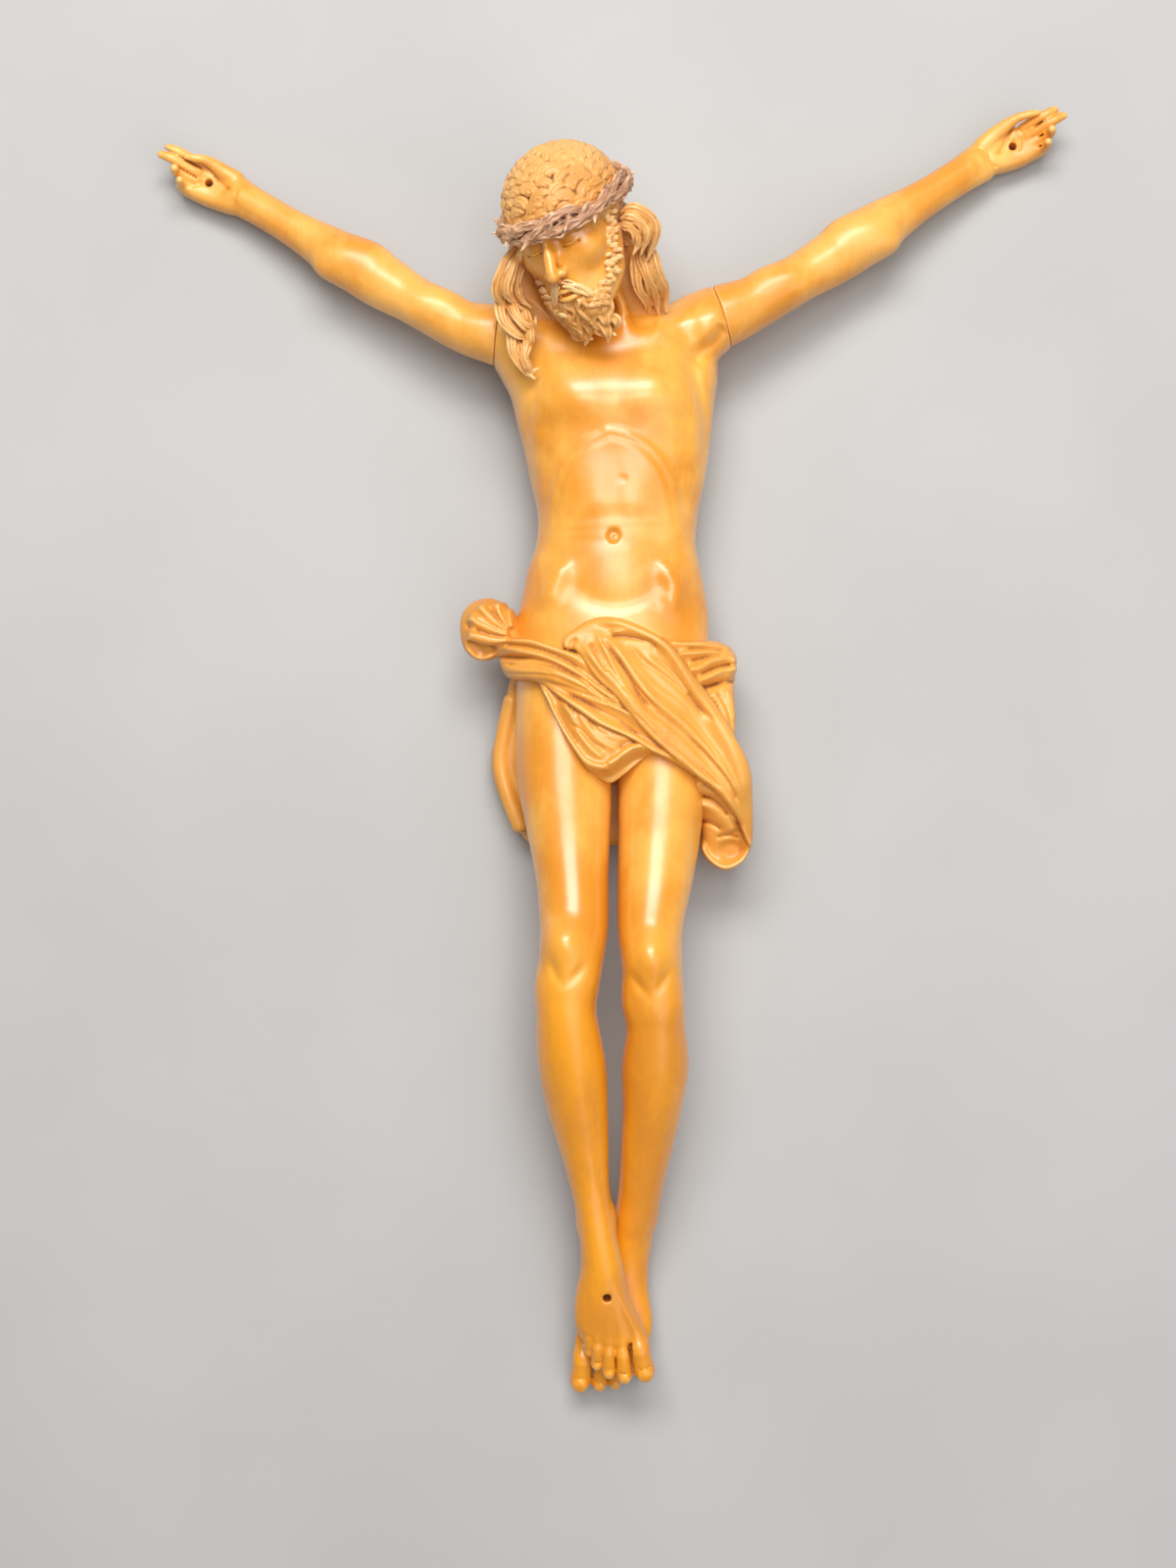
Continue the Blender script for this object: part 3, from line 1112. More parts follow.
def lay_over(wood, other, blend):
    """Joins another carving of the same step, on its own grid, to this one."""
    cells, x, y, z = wood.window(other.low, [axis[-1] for axis in other.axes], -2 * wood.step)
    grids = [np.clip((v.ravel() - low) / other.step, 0, n - 1.001)
             for v, low, n in zip((x, y, z), other.low, other.count)]
    whole = [g.astype(int) for g in grids]
    part = [(g - w).astype(np.float32) for g, w in zip(grids, whole)]
    made = 0
    for i in (0, 1):
        for j in (0, 1):
            for k in (0, 1):
                weight = [p if corner else 1 - p for p, corner in zip(part, (i, j, k))]
                values = other.field[np.ix_(whole[0] + i, whole[1] + j, whole[2] + k)]
                made = made + values * weight[0][:, None, None] * weight[1][None, :, None] * weight[2]
    wood.merge(cells, made.astype(np.float32), blend)


def carve_knot(wood):
    """The knot at the right hip: a gathered ear of cloth with a hollow below."""
    ear = Carving((-54, 20, 14), (-20, 56, 50), CLOTH_STEP)
    ear.ball((-40.3, 40.1, 26.6), (8.8, 8.5, 6.0))
    ear.ball((-41.4, 34.9, 26.6), (6.8, 6.4, 5.6), 3)
    ear.ball((-35, 37.4, 27), (5.6, 5.6, 6), 3)
    ear.raised(knot_folds, (-54, 20, 20), (-20, 56, 50), lambda z: ease((z - 21) / 5))
    hollow = [(*p, 31) for p in seen([(482, 659), (490, 665), (500, 663)], 30)]
    ear.rope(hollow, [2.2, 3.0, 2.2], 0.8, cut=True)
    lay_over(wood, ear, 1.2)
    wood.ball((-32.6, 33.4, 25), (5.4, 4.4, 7), 2)


def carve_loincloth():
    """The cloth around the hips, its hanging end and its knot."""
    wood = Carving((-54, -46, -1), (50, 54, 57), CLOTH_STEP)
    wood.limb(CLOTH, power=2.38, round_ends=4)
    wood.limb(HANGING_END, blend=4, round_ends=3)
    wood.limb(FLAP, blend=3)
    raise_folds(wood)
    wood.limb(CLOTH_BEHIND, power=2.9, blend=1.5, round_ends=2)
    edge = seen([(522, 716), (515, 746), (511, 780), (519, 813), (530, 842)], 12)
    ridge = [(*place, height) for place, height in zip(edge, (15, 13.5, 12.6, 12.6, 12))]
    wood.rope(smooth(ridge, 4), 2.6, 1.5)
    carve_knot(wood)
    wood.flatten_back()
    return wood


# Head, hair, beard and crown
# They are carved upright around the middle of the skull: +X its left, +Y its top, +Z its face.


def turned(degrees, axis):
    """Turn about one axis, as a matrix."""
    c, s = math.cos(math.radians(degrees)), math.sin(math.radians(degrees))
    a, b = [(1, 2), (2, 0), (0, 1)][axis]
    made = np.eye(3)
    made[a, a], made[a, b], made[b, a], made[b, b] = c, -s, s, c
    return made


HEAD_MIDDLE = np.array([-16, 169.5, 55])
HEAD_TURN = turned(-27, 1) @ turned(30, 0) @ turned(10, 2)
HEAD_PLACE = (HEAD_TURN.T, HEAD_MIDDLE)
SKULL = np.array([19.4, 18.6, 22.0])


def into_head(points):
    """Places of the head for places of the figure."""
    return (np.asarray(points, float) - HEAD_MIDDLE) @ HEAD_TURN


def arc(centre, normal, size, start, sweep):
    """Points of a curl that lies flat against a surface and closes towards its end."""
    normal = normal / np.linalg.norm(normal)
    across = np.cross((0, 1, 0.01), normal)
    across /= np.linalg.norm(across)
    up = np.cross(normal, across)
    t = np.linspace(0, 1, 8)[:, None]
    turn = start + sweep * t
    reach = size * (1 - 0.3 * t)
    return centre + reach * (np.cos(turn) * across + np.sin(turn) * up)


# Lines of the left eye, from the nose outwards
LID_CREASE = [(2.8, -7.2, 16.4), (4.4, -6.0, 17.4), (6.5, -5.6, 17.5), (8.8, -6.4, 16.2), (10.4, -7.8, 14.2)]
LID = [(2.7, -9.2, 15.9), (4.4, -9.8, 17.1), (6.4, -10.1, 17.5), (8.4, -9.8, 16.6), (10.1, -8.9, 14.6)]
SLIT = [(3.0, -9.3, 16.3), (4.4, -9.9, 17.2), (6.4, -10.2, 17.5), (8.4, -9.9, 16.7), (9.8, -9.1, 15.0)]
LOWER_LID = [(3.2, -9.4, 16.2), (4.6, -10.0, 17.1), (6.4, -10.3, 17.3), (8.2, -10.0, 16.5), (9.8, -9.2, 14.9)]
BROW = [(1.6, -4.6, 18.9), (4.2, -3.4, 19.3), (7.4, -3.0, 18.2), (10.6, -4.4, 15.2), (12.6, -6.8, 12.0)]


def carve_eyes(wood):
    """Lowered lids under a calm brow."""
    for side in (-1, 1):
        wood.ball((side * 6.2, -7.8, 19.6), (4.6, 3.0, 3.3), 3.0, cut=True)
        wood.ball((side * 6.3, -8.6, 13.5), (4.0, 3.7, 3.9), 0.8)
        wood.rope(eye_line(LID_CREASE, side), 0.34, 0.6, cut=True)
        wood.rope(eye_line(LID, side), 0.5, 0.5)
        wood.rope(eye_line(SLIT, side, -0.7, 0.1), 0.3, 0.25, cut=True)
        wood.rope(eye_line(LOWER_LID, side, -1.5, -0.2), 0.45, 0.8)
        wood.rope(eye_line(BROW, side), 1.0, 2.6)


def eye_line(rows, side, up=0.0, forward=0.0):
    """One side's line, moved up and forward by so much."""
    return smooth([(side * x, y + up, z + forward) for x, y, z in rows], 3)


def carve_nose(wood):
    """Ridge, nostrils and the bridge between them."""
    ridge = [(0, -3.4, 18.4), (0, -8, 19.3), (0, -12, 21.2), (0, -15.6, 23.0), (0, -17.0, 23.3)]
    wood.rope(smooth(ridge, 3), np.linspace(1.5, 2.0, 13), 3.0)
    for side in (-1, 1):
        wood.ball((side * 2.3, -17.1, 20.9), (1.6, 1.5, 2.1), 1.3)
        wood.ball((side * 1.3, -18.9, 21.7), (0.75, 0.6, 1.2), 0.4, cut=True)
    wood.rope([(0, -18.0, 22.4), (0, -19.4, 20.6)], 0.8, 0.8)


def carve_mouth(wood):
    """Closed lips over a hollow below them."""
    upper_lip = [(-4.4, -24.1, 17.6), (-2.6, -23.4, 19.3), (-0.9, -22.9, 20.1), (0, -23.1, 20.2),
                 (0.9, -22.9, 20.1), (2.6, -23.4, 19.3), (4.4, -24.1, 17.6)]
    lower_lip = [(-3.8, -24.9, 17.6), (-2.0, -25.5, 19.3), (0, -25.7, 19.9), (2.0, -25.5, 19.3),
                 (3.8, -24.9, 17.6)]
    parting = [(-4.6, -24.3, 17.8), (-2.6, -24.3, 19.8), (0, -24.3, 20.7), (2.6, -24.3, 19.8),
               (4.6, -24.3, 17.8)]
    wood.rope(smooth(upper_lip, 3), 0.75, 0.9)
    wood.rope(smooth(lower_lip, 3), 0.95, 0.9)
    wood.rope(smooth(parting, 3), 0.28, 0.3, cut=True)
    wood.rope([(-2.4, -27.9, 20.8), (0, -28.2, 21.4), (2.4, -27.9, 20.8)], 1.2, 1.6, cut=True)


def carve_face():
    """Forehead, cheeks, jaw and chin, with eyes, nose and mouth."""
    wood = Carving((-19, -37, -14), (19, 10, 27), HEAD_STEP)
    wood.ball((0, -1.0, 0), (16.2, 15, 20.4))
    wood.ball((0, -13, 3), (13.6, 20, 15.8), 4)
    wood.ball((0, -26.5, 6), (9.6, 7.6, 12.0), 5)
    for side in (-1, 1):
        wood.ball((side * 8.4, -13.0, 11.2), (4.8, 3.8, 4.4), 6)
        wood.rope([(side * 13.0, -14, 2), (side * 11.4, -23, 5), (side * 6, -30, 12)], 2.2, 6)
    wood.ball((0, -31, 12.4), (4.4, 3.6, 4.4), 3)
    carve_nose(wood)
    carve_eyes(wood)
    carve_mouth(wood)
    return wood


# Line of the left jaw, from the ear to the chin
JAW = [
    (15.6, 1, 1.5), (15.2, -5, 3), (14.4, -13, 5.2), (12.6, -21, 8), (9.2, -27.6, 12.2), (4.6, -31.4, 16.2),
]
JAW_CURLS = 17


def carve_jaw(wood, rng):
    """Small hooked curls in rows along the jaw."""
    for side in (-1, 1):
        line = smooth([(side * x, y, z) for x, y, z in JAW], 8)
        inner = line - np.array([side * 0.5, 0, 0.5])
        wood.rope(inner, np.linspace(1.0, 2.8, len(line)), 1.0)
        for row, rise in enumerate((-2.1, -0.7, 0.7, 2.1)):
            for k in range(JAW_CURLS):
                t = min(0.999, max(0, (k + 0.5 * (row % 2) + rng.uniform(-0.35, 0.35)) / JAW_CURLS))
                at = line[int(t * (len(line) - 1))]
                out = np.array([side * (0.95 - 0.6 * t), -0.2 - 0.4 * t, 0.35 + 0.75 * t + 0.16 * row])
                out /= np.linalg.norm(out)
                inward = np.array([-side * 0.42, 0.25, 0.85 - 0.4 * t])
                centre = at + out * (0.5 + 1.7 * t) + inward * rise * (0.6 + 0.5 * t)
                size = rng.uniform(1.3, 2.1)
                start = (0.2 if side > 0 else 2.9) + rng.uniform(-0.9, 0.9)
                for scale, lift in ((1.0, 0.0), (0.58, 0.2)):
                    points = arc(centre + lift * out, out, size * scale, start, side * 2.6)
                    wood.rope(points, 0.38 * np.array([0.5, 0.9, 1.1, 1.2, 1.1, 1, 0.8, 0.5]), 0.1)


def carve_moustache(wood):
    """Wavy strands that hang over the corners of the mouth."""
    for side in (-1, 1):
        for k in range(5):
            low = 0.85 * k
            lift = 0.35 * (k % 2)
            rows = smooth([
                (side * 0.7, -19.9 - 0.5 * low, 21.0 + lift),
                (side * 3.0, -20.4 - 0.9 * low, 20.2 + lift),
                (side * (5.4 - 0.2 * k), -22.8 - 0.85 * low, 18.7 + lift),
                (side * (7.0 - 0.3 * k), -26 - 0.6 * low, 17.2 + lift),
                (side * (8.6 - 0.9 * k), -29.6, 15.6),
            ], 4)
            rows[:, 1] += 0.3 * np.sin(np.linspace(0, 11, len(rows)) + 1.9 * k)
            share = np.linspace(0, 1, len(rows))
            wood.rope(rows, np.interp(share, (0, 0.3, 0.8, 1), (0.25, 0.4, 0.44, 0.25)), 0.06)


def carve_chin_locks(wood, rng):
    """Short wavy locks that part into two tips below the chin."""
    facing = np.array([0, -0.2, 1])
    tiers = ((0, 9, -44, 0.0), (1.4, 8, -41, 1.4), (2.6, 8, -37.2, 3.0), (3.4, 6, -33.6, 4.6))
    for depth, count, low, raised in tiers:
        for k in range(count):
            u = 2 * (k + 0.5) / count - 1 + rng.uniform(-0.06, 0.06)
            side = 1 if u > 0 else -1
            start = np.array([9.0 * u, -29.6 + raised - 1.4 * abs(u), 13.6 + depth - 4.2 * u * u])
            end_y = low + 4.4 * abs(abs(u) - 0.45) + rng.uniform(-0.8, 0.8)
            tip = np.array([side * (1.6 + 5.0 * abs(u)), end_y, 12.4 + 0.8 * depth - 2.6 * u * u])
            wave = rng.uniform(0.6, 1.1) * (1 if k % 2 else -1)
            rows = [start, start + 0.33 * (tip - start) + (wave, 0, 1.2),
                    start + 0.7 * (tip - start) + (-wave, 0, 0.9), tip + (wave * 1.2, 0.9, 0.2)]
            carve_lock(wood, rows, rng.uniform(1.35, 1.7), rng, facing, strands=3)


def carve_beard():
    """Beard and moustache, hollow where the mouth lies."""
    rng = np.random.default_rng(4)
    wood = Carving((-20, -48, -4), (20, 6, 27), HEAD_STEP)
    wood.limb([(0, -39.8, 12.4, 4.6, 2.4), (0, -36, 12.2, 6.4, 3.4), (0, -32, 12, 7.6, 4.2),
               (0, -28, 11.6, 8.2, 4.6)])
    carve_jaw(wood, rng)
    carve_chin_locks(wood, rng)
    mouth = [(-3.6, -25.0, 19.6), (-2.0, -25.2, 20.8), (0, -25.3, 21.6), (2.0, -25.2, 20.8),
             (3.6, -25.0, 19.6)]
    wood.rope(smooth(mouth, 3), 1.9, 0.5, cut=True)
    carve_moustache(wood)
    return wood


def on_skull(way, level):
    """Place in one direction from the skull's middle, at a share of the skull's size."""
    return way * (level / np.linalg.norm(way / SKULL, axis=-1, keepdims=True))


# Rows of curls: the skull's mean radius, the curls' spacing, the tilt from row to row
SKULL_RADIUS = 20
CURL_SPACING = 6.0
CURL_TILT = 0.158


def carve_skull_curls(wood, rng):
    """Low curls in rows over the top of the head."""
    nearest_curl = np.full(wood.count, 9, np.float32)
    rise = np.zeros(wood.count, np.float32)
    row = 0
    tilt = 0.1
    while tilt < 2.5:
        count = max(3, int(round(2 * math.pi * math.sin(tilt) * SKULL_RADIUS / CURL_SPACING)))
        for k in range(count):
            turn = 2 * math.pi * (k + 0.5 * (row % 2) + rng.uniform(-0.16, 0.16)) / count
            lean = tilt + rng.uniform(-0.03, 0.03)
            out = np.array([math.sin(lean) * math.sin(turn), math.cos(lean), math.sin(lean) * math.cos(turn)])
            centre = on_skull(out, 0.95)
            if centre[1] > -6 or centre[2] < 2:
                carve_curl(wood, nearest_curl, rise, centre, out / SKULL, rng)
        tilt += CURL_TILT
        row += 1
    wood.field -= rise


def carve_curl(wood, nearest_curl, rise, centre, normal, rng):
    """One curl: a low scale with lines bent around its lower edge."""
    normal = normal / np.linalg.norm(normal)
    across = np.cross((0, 1, 0.01), normal)
    across /= np.linalg.norm(across)
    turn = rng.uniform(-0.6, 0.6)
    up = np.cross(normal, across)
    across, up = math.cos(turn) * across + math.sin(turn) * up, math.cos(turn) * up - math.sin(turn) * across
    cells, x, y, z = wood.window(centre - 5, centre + 5, 0)
    off = (x - centre[0], y - centre[1], z - centre[2])
    u = sum(a * o for a, o in zip(across, off))
    v = sum(a * o for a, o in zip(up, off))
    v = v + 0.1 * u * u
    far = np.sqrt((u / rng.uniform(3.2, 4.8)) ** 2 + (v / rng.uniform(1.8, 2.7)) ** 2)
    ring = np.sqrt(0.3 * (u - rng.uniform(-0.8, 0.8)) ** 2 + (v + 1.6) ** 2)
    height = np.sqrt(np.clip(1.15 - far * far, 0, 1)) + 0.17 * np.cos(2 * math.pi * ring / 1.4) - 0.18 * v
    closer = far < nearest_curl[cells]
    nearest_curl[cells] = np.where(closer, far, nearest_curl[cells])
    rise[cells] = np.where(closer, height * ease((1.6 - far) / 0.5), rise[cells])


# Locks beside the face and on the shoulders: places in the photograph with heights, half width
LOCKS = [
    ([(527, 252, 50), (515, 271, 51), (508, 291, 50), (512, 308, 47), (524, 321, 45)], 1.6),
    ([(530, 258, 51), (522, 274, 53), (517, 291, 52), (521, 305, 49), (533, 316, 46)], 1.6),
    ([(532, 266, 47), (529, 280, 49), (526, 293, 48), (531, 305, 46), (542, 314, 43)], 1.5),
    ([(512, 298, 41), (511, 312, 45), (517, 330, 46), (530, 343, 46), (542, 340, 43)], 1.7),
    ([(519, 298, 43), (525, 318, 48), (534, 331, 48), (544, 334, 45), (547, 323, 43)], 1.5),
    ([(529, 308, 41), (536, 325, 45), (541, 340, 46), (538, 352, 44), (529, 358, 42)], 1.5),
    ([(517, 326, 39), (523, 344, 44), (526, 362, 44), (535, 377, 43), (546, 387, 42)], 1.6),
    ([(530, 338, 40), (537, 352, 45), (535, 366, 45), (541, 378, 43), (550, 376, 42)], 1.4),
    ([(524, 346, 42), (532, 360, 42), (532, 370, 42), (540, 382, 41)], 1.4),
    ([(634, 216, 60), (647, 214, 61), (659, 220, 60), (666, 232, 58), (667, 248, 55), (660, 266, 51)], 1.9),
    ([(634, 223, 61), (645, 222, 62), (655, 230, 61), (659, 243, 59), (654, 260, 55)], 1.7),
    ([(632, 230, 60), (641, 230, 61), (648, 238, 60), (651, 249, 58), (646, 260, 56)], 1.5),
    ([(657, 246, 46), (665, 264, 49), (672, 283, 45), (678, 300, 38), (680, 318, 33)], 1.8),
    ([(651, 250, 47), (658, 270, 49), (663, 289, 45), (669, 306, 38), (672, 321, 32)], 1.8),
    ([(645, 254, 46), (650, 276, 47), (654, 296, 43), (661, 311, 36), (663, 322, 32)], 1.7),
    ([(536, 250, 55), (531, 260, 54), (528, 272, 51)], 1.2),
]


def carve_lock(wood, rows, half, rng, facing, strands=4):
    """A wavy lock of fine strands around a core."""
    rows = smooth(rows, 8)
    t = np.linspace(0, 1, len(rows))
    taper = np.minimum(1, np.minimum(0.35 + 3.4 * t, 0.16 + 2.2 * (1 - t)))
    along = np.gradient(rows, axis=0)
    along /= np.linalg.norm(along, axis=1)[:, None]
    across = np.cross(along, facing)
    across /= np.linalg.norm(across, axis=1)[:, None]
    out = np.cross(across, along)
    phase = rng.uniform(0, 6)
    wood.rope(rows, half * 0.84 * taper, 0.3)
    middle = (strands - 1) / 2
    for k in range(strands):
        sway = (k - middle) / middle + 0.22 * np.sin(phase + 11 * t + 0.7 * k)
        rise = np.sqrt(np.clip(1.1 - sway**2, 0, 1)) + 0.18 * (k % 2)
        lift = 0.9 * half * taper
        path = rows + across * (sway * lift)[:, None] + out * (rise * lift * 0.9)[:, None]
        wood.rope(path, half * 1.3 / strands * np.maximum(taper, 0.4), 0.12)


def carve_hair():
    """Skull, the hair behind neck and ears, low curls and separate locks."""
    rng = np.random.default_rng(7)
    low, high = hair_reach()
    wood = Carving(low, high, HAIR_STEP)
    wood.ball((0, 0, 0), SKULL * 0.905)
    nape = into_head([(-14, 172, 41), (-10, 160, 30), (-7, 148, 20), (-5, 139, 12), (-4, 131, 8)])
    wood.rope(smooth(nape, 3), np.interp(np.arange(13), (0, 3, 6, 9, 12), (12, 12, 10.5, 7.5, 4)), 3)
    behind = into_head([(-27, 160, 38), (-29.4, 150, 38), (-27, 141, 36), (-24, 134, 35), (-23, 128, 36)])
    wood.rope(smooth(behind, 3), np.linspace(5.6, 3.6, 13), 3)
    inner = into_head([(-22, 158, 38), (-22, 148, 33), (-20, 140, 30)])
    wood.rope(smooth(inner, 3), 5, 3)
    left_edge = into_head([(2, 165, 48), (7, 160, 47), (8, 154, 42), (10, 147, 36), (12, 141, 29)])
    wood.rope(left_edge, 4.2, 2)
    left_inner = into_head([(2, 160, 42), (3, 150, 37), (6, 142, 29)])
    wood.rope(left_inner, 5.2, 2)
    wood.keep(*front_of_face())
    carve_skull_curls(wood, rng)
    for line, half in LOCKS:
        carve_lock(wood, into_head(placed(line)), half, rng, HEAD_TURN.T @ np.array([0, 0, 1]))
    return wood


def front_of_face():
    """Plane behind the skin of the face, below the crown."""
    return (0, -0.55, 1), (0, -3, 19.5)


def hair_reach():
    """Corners of a box around the skull, the locks and the hair's lower ends."""
    lower_ends = into_head([(-4, 129, 6), (-22, 126, 22)])
    points = np.vstack([into_head(placed(line)) for line, _ in LOCKS] + [lower_ends])
    low = np.minimum(points.min(0) - 5, (-22, -20, -25))
    high = np.maximum(points.max(0) + 5, (22, 22, 25))
    return low, high


def crown_line(turn, offset, lift):
    """Places around the head, so far out from the crown's ring and so far up."""
    height = -1.5 - 1.5 * np.cos(turn) + lift
    return np.stack([(19.8 + offset) * np.sin(turn), height, (22.2 + offset) * np.cos(turn)], axis=-1)


# Thorns: the turn around the head, from the forehead, and how steeply they point up
THORNS = [
    (0.2, 0.9), (0.55, -0.9), (0.95, -0.8), (1.3, 0.9), (1.65, 1.0), (2.2, -0.7), (2.9, 0.8), (3.6, -0.8),
    (4.3, 0.8), (4.75, -0.5), (5.0, 0.9), (5.3, 0.7), (5.6, -0.9), (5.9, 0.8), (6.15, -0.7), (0.75, 0.9),
]


def carve_crown():
    """Twisted strips of bark-like twig with ragged edges and short thorns."""
    rng = np.random.default_rng(11)
    wood = Carving((-29, -15, -31), (29, 13, 31), HEAD_STEP)
    turn = np.linspace(0, 2 * math.pi, 181)
    for k, twists in enumerate((3, 2, 3, 2)):
        wave = twists * turn + 1.6 * k + 0.5 * np.sin(2 * turn + k)
        swell = 0.9 + 0.3 * np.sin(3 * turn + 1.7 * k)
        lift = 2.2 * np.sin(wave) * swell
        thick = 1.25 + 0.3 * np.sin(4 * turn + 2.1 * k)
        wood.rope(crown_line(turn, 0.9 * np.cos(wave), lift), thick, 0.15)
        for ridge in (-1.3, -0.45, 0.45, 1.3):
            offset = 0.9 * np.cos(wave) + thick + 0.15 - 0.42 * ridge * ridge
            ragged = ridge * thick / 1.3 + 0.3 * np.sin(17 * turn + 3 * ridge + k)
            ragged = ragged + 0.16 * np.sin(41 * turn + k)
            wood.rope(crown_line(turn, offset, lift + ragged), 0.3 + 0.12 * np.sin(23 * turn + 2 * k), 0.05)
    for place, lean in THORNS:
        base = crown_line(np.array(place), 1.0, rng.uniform(-1.8, 1.8))
        along = rng.choice((-1.1, 1.1))
        way = np.array([math.sin(place + along), lean, math.cos(place + along)])
        way /= np.linalg.norm(way)
        bent = way + 0.5 * np.array([math.sin(place), 0, math.cos(place)])
        tip = base + 2.6 * way + 2.4 * bent / np.linalg.norm(bent)
        wood.rope([base, base + 2.6 * way, tip], [1.1, 0.65, 0.12], 0.3)
    return wood


# Material

def add_node(tree, kind, **values):
    node = tree.nodes.new(kind)
    for name, value in values.items():
        setattr(node, name, value)
    return node


def scaled(tree, scale):
    """Places on the piece, in metres, times a scale in each direction."""
    place = add_node(tree, "ShaderNodeTexCoord")
    times = add_node(tree, "ShaderNodeMapping")
    times.inputs["Scale"].default_value = scale
    tree.links.new(place.outputs["Object"], times.inputs["Vector"])
    return times


def noise(tree, scale, detail, rough=0.5):
    """Soft spots, of which a metre holds as many as the scale says in each direction."""
    place = scaled(tree, scale)
    made = add_node(tree, "ShaderNodeTexNoise")
    made.inputs["Scale"].default_value = 1
    made.inputs["Detail"].default_value = detail
    made.inputs["Roughness"].default_value = rough
    tree.links.new(place.outputs["Vector"], made.inputs["Vector"])
    return made.outputs["Fac"]


def ramp(tree, value, low, high, start=0.0, end=1.0):
    """A number that goes from start to end while the value goes from low to high."""
    made = add_node(tree, "ShaderNodeMapRange", interpolation_type="SMOOTHSTEP")
    for name, number in (("From Min", low), ("From Max", high), ("To Min", start), ("To Max", end)):
        made.inputs[name].default_value = number
    tree.links.new(value, made.inputs["Value"])
    return made.outputs["Result"]


def mix(tree, share, first, second, kind="MIX"):
    """Two colours mixed by a share, each of them a value or another node's output."""
    made = add_node(tree, "ShaderNodeMix", data_type="RGBA", blend_type=kind)
    for socket, value in ((made.inputs[0], share), (made.inputs[6], first), (made.inputs[7], second)):
        if isinstance(value, bpy.types.NodeSocket):
            tree.links.new(value, socket)
        elif isinstance(value, tuple):
            socket.default_value = (*value, 1)
        else:
            socket.default_value = value
    return made.outputs[2]


def mark(tree, name):
    """Share of wood around each point of the surface, as the pieces carry it."""
    return add_node(tree, "ShaderNodeAttribute", attribute_name=name).outputs["Fac"]


def up_the_figure(tree):
    """Place along the figure, in metres, from its middle towards its head."""
    parts = add_node(tree, "ShaderNodeSeparateXYZ")
    tree.links.new(scaled(tree, (1, 1, 1)).outputs["Vector"], parts.inputs[0])
    return parts.outputs["Y"]


def linear(red, green, blue):
    """Linear colour of a screen colour from 0 to 255."""
    return tuple(((v / 255 + 0.055) / 1.055) ** 2.4 for v in (red, green, blue))


def boxwood(name, light, deep, recess, rough, coat, worn, low=None, dark=(0.55, 0.86)):
    """Oiled boxwood: fine grain, slow changes of colour, dark recesses and worn edges."""
    material = bpy.data.materials.new(name)
    material.use_nodes = True
    tree = material.node_tree
    shader = tree.nodes["Principled BSDF"]
    cloudy = ramp(tree, noise(tree, (38, 26, 38), 4, 0.6), 0.36, 0.64)
    colour = mix(tree, cloudy, light, deep)
    if low:
        colour = mix(tree, ramp(tree, up_the_figure(tree), -0.02, -0.1), colour, mix(tree, cloudy, low, deep))
    streak = ramp(tree, noise(tree, (900, 42, 900), 2), 0.35, 0.7)
    colour = mix(tree, 0.06, colour, mix(tree, streak, (1, 1, 1), (0.45, 0.3, 0.16)), "MULTIPLY")
    colour = mix(tree, ramp(tree, mark(tree, "wide"), 0.64, 0.86, 0.0, 0.5), colour, recess)
    colour = mix(tree, ramp(tree, mark(tree, "near"), *dark), colour, recess)
    colour = mix(tree, ramp(tree, mark(tree, "near"), 0.42, 0.24, 0.0, 0.7), colour, worn)
    tree.links.new(colour, shader.inputs["Base Color"])
    gloss = ramp(tree, noise(tree, (60, 60, 60), 3), 0.3, 0.7, rough - 0.05, rough + 0.07)
    tree.links.new(gloss, shader.inputs["Roughness"])
    shader.inputs["Coat Weight"].default_value = coat
    shader.inputs["Coat Roughness"].default_value = 0.26
    bump = add_node(tree, "ShaderNodeBump")
    bump.inputs["Strength"].default_value = 0.12
    bump.inputs["Distance"].default_value = 0.0002
    tree.links.new(noise(tree, (700, 120, 700), 3), bump.inputs["Height"])
    tree.links.new(bump.outputs["Normal"], shader.inputs["Normal"])
    return material


def plain_floor():
    mesh = bpy.data.meshes.new("floor")
    reach = 3.0
    corners = [(-reach, -reach, 0), (reach, -reach, 0), (reach, reach, 0), (-reach, reach, 0)]
    mesh.from_pydata(corners, [], [(0, 1, 2, 3)])
    floor = bpy.data.objects.new("floor", mesh)
    bpy.context.collection.objects.link(floor)
    material = bpy.data.materials.new("floor")
    material.use_nodes = True
    tree = material.node_tree
    shader = tree.nodes["Principled BSDF"]
    spots = ramp(tree, noise(tree, (8, 8, 8), 3), 0.3, 0.7)
    colour = mix(tree, spots, (0.44, 0.44, 0.44), (0.47, 0.47, 0.47))
    tree.links.new(colour, shader.inputs["Base Color"])
    shader.inputs["Roughness"].default_value = 0.8
    mesh.materials.append(material)


def area_light(name, place, aim, size, power, tint=(1, 1, 1)):
    light = bpy.data.lights.new(name, "AREA")
    light.shape = "RECTANGLE"
    light.size, light.size_y = size
    light.energy = power
    light.color = tint
    lamp = bpy.data.objects.new(name, light)
    lamp.location = place
    way = Vector(aim) - Vector(place)
    lamp.rotation_euler = way.to_track_quat("-Z", "Y").to_euler()
    bpy.context.collection.objects.link(lamp)


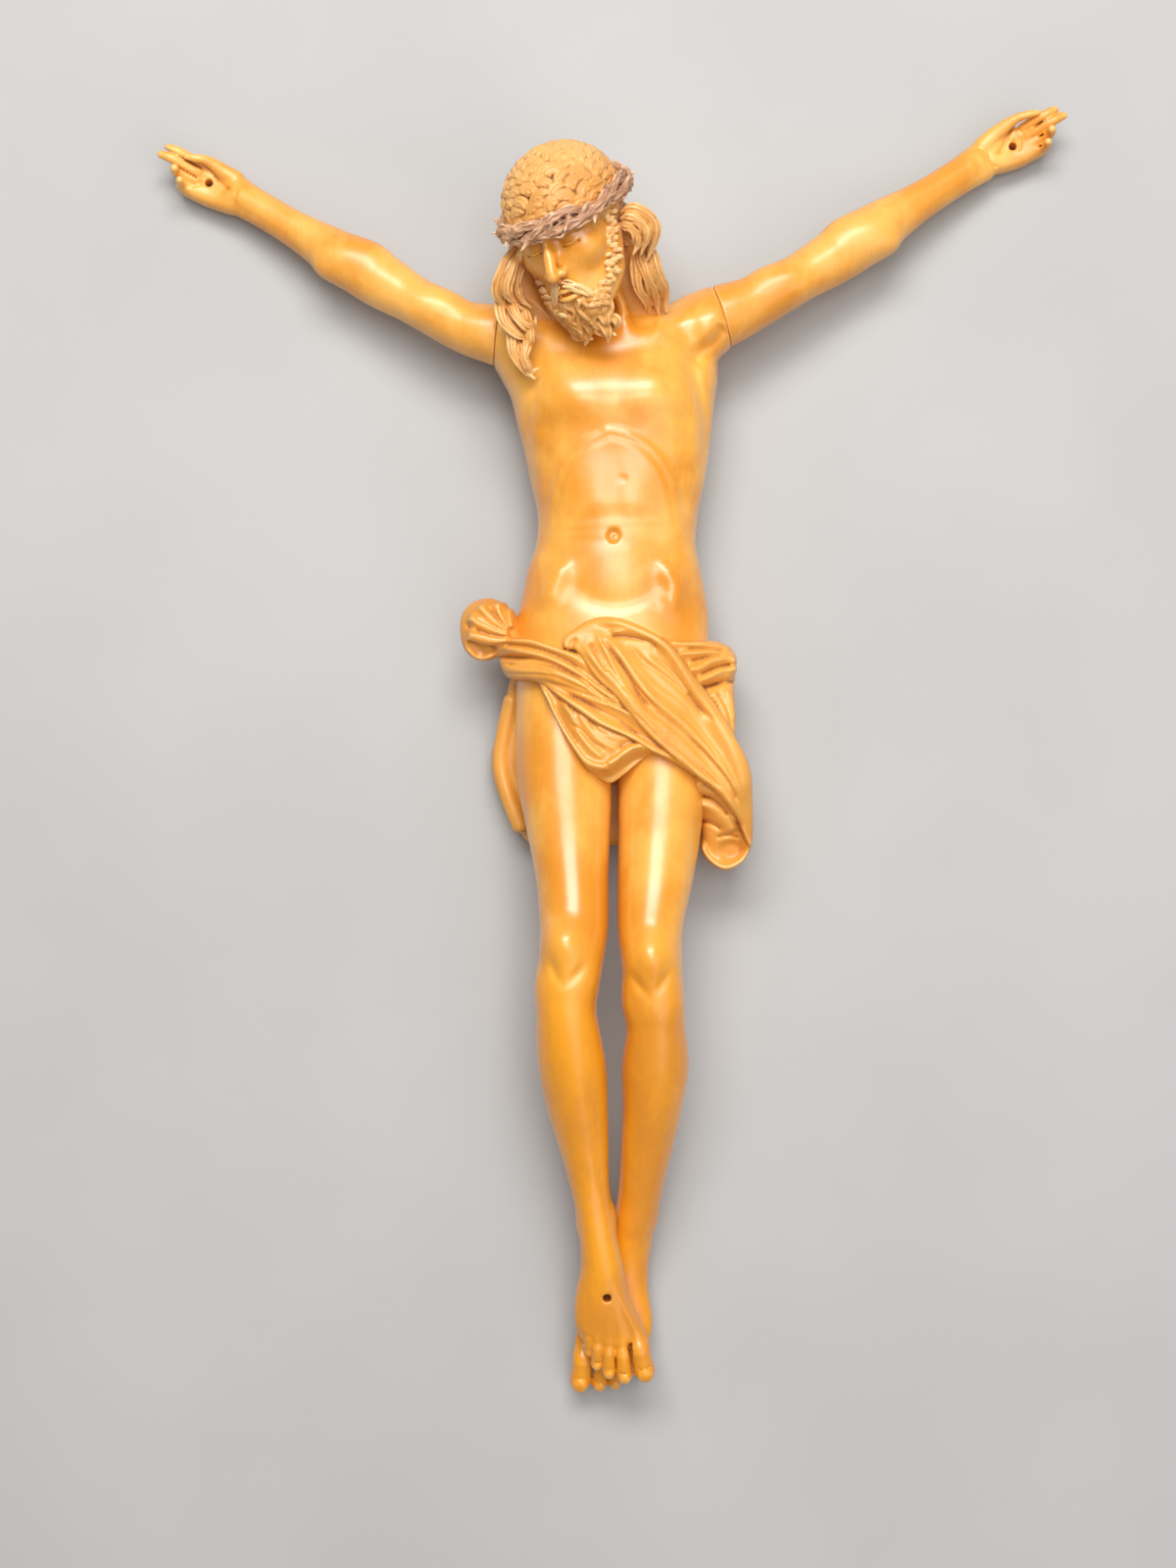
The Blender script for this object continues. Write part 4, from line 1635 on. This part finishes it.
def light_studio():
    area_light("key", (-0.06, 0.74, 1.15), (0, 0, 0), (0.9, 0.45), 17, (1, 0.98, 0.95))
    area_light("front", (0.02, 0.16, 1.4), (0, 0, 0), (0.7, 0.5), 6.5, (1, 0.98, 0.95))
    area_light("fill", (0.7, -0.5, 1.5), (0, 0, 0), (1.6, 1.6), 9, (1, 0.97, 0.92))
    world = bpy.data.worlds.new("studio")
    world.use_nodes = True
    world.node_tree.nodes["Background"].inputs["Color"].default_value = (0.9, 0.93, 1, 1)
    world.node_tree.nodes["Background"].inputs["Strength"].default_value = 0.2
    bpy.context.scene.world = world


# Height of the camera's sensor
SENSOR = 36


def place_camera():
    """A camera at the eye from which the photograph's places are worked out."""
    data = bpy.data.cameras.new("camera")
    data.sensor_fit = "VERTICAL"
    data.sensor_height = SENSOR
    data.sensor_width = SENSOR * PHOTO_WIDTH / PHOTO_HEIGHT
    data.lens = SENSOR / (PHOTO_HEIGHT * PIXEL)
    camera = bpy.data.objects.new("camera", data)
    camera.location = (np.array(EYE) + MIDDLE) * MM
    bpy.context.collection.objects.link(camera)
    bpy.context.scene.camera = camera


bpy.context.scene.view_settings.view_transform = "Standard"
place_camera()
light_studio()
plain_floor()

body_wood = boxwood("skin_wood", linear(242, 176, 74), linear(226, 144, 32), linear(146, 74, 18),
                    rough=0.4, coat=0.9, worn=linear(248, 192, 104), low=linear(244, 160, 18))
arm_wood = boxwood("arm_wood", linear(244, 180, 86), linear(228, 148, 44), linear(146, 74, 18),
                   rough=0.42, coat=0.4, worn=linear(248, 196, 112))
hair_wood = boxwood("hair_wood", linear(234, 178, 104), linear(212, 148, 74), linear(92, 50, 24),
                    rough=0.46, coat=0.1, worn=linear(250, 210, 150), dark=(0.53, 0.78))
crown_wood = boxwood("crown_wood", linear(228, 180, 138), linear(170, 122, 90), linear(60, 34, 22),
                     rough=0.5, coat=0.08, worn=linear(240, 200, 160), dark=(0.5, 0.76))
cloth_wood = boxwood("cloth_wood", linear(234, 166, 74), linear(220, 146, 52), linear(120, 60, 20),
                     rough=0.4, coat=0.3, worn=linear(248, 196, 118))

make_piece("torso", ["corpus"], carve_torso(), body_wood, 120000)
make_piece("legs", ["corpus"], carve_legs(), body_wood, 140000)
make_piece("right_arm", ["arm_right"], carve_right_arm(), arm_wood, 58000)
make_piece("left_arm", ["arm_left"], carve_left_arm(), arm_wood, 58000)
make_piece("loincloth", ["corpus"], carve_loincloth(), cloth_wood, 190000)
make_piece("face", ["corpus"], carve_face(), body_wood, 85000, HEAD_PLACE)
make_piece("beard", ["corpus"], carve_beard(), hair_wood, 95000, HEAD_PLACE)
make_piece("hair", ["corpus"], carve_hair(), hair_wood, 190000, HEAD_PLACE)
make_piece("crown", ["corpus"], carve_crown(), crown_wood, 60000, HEAD_PLACE)
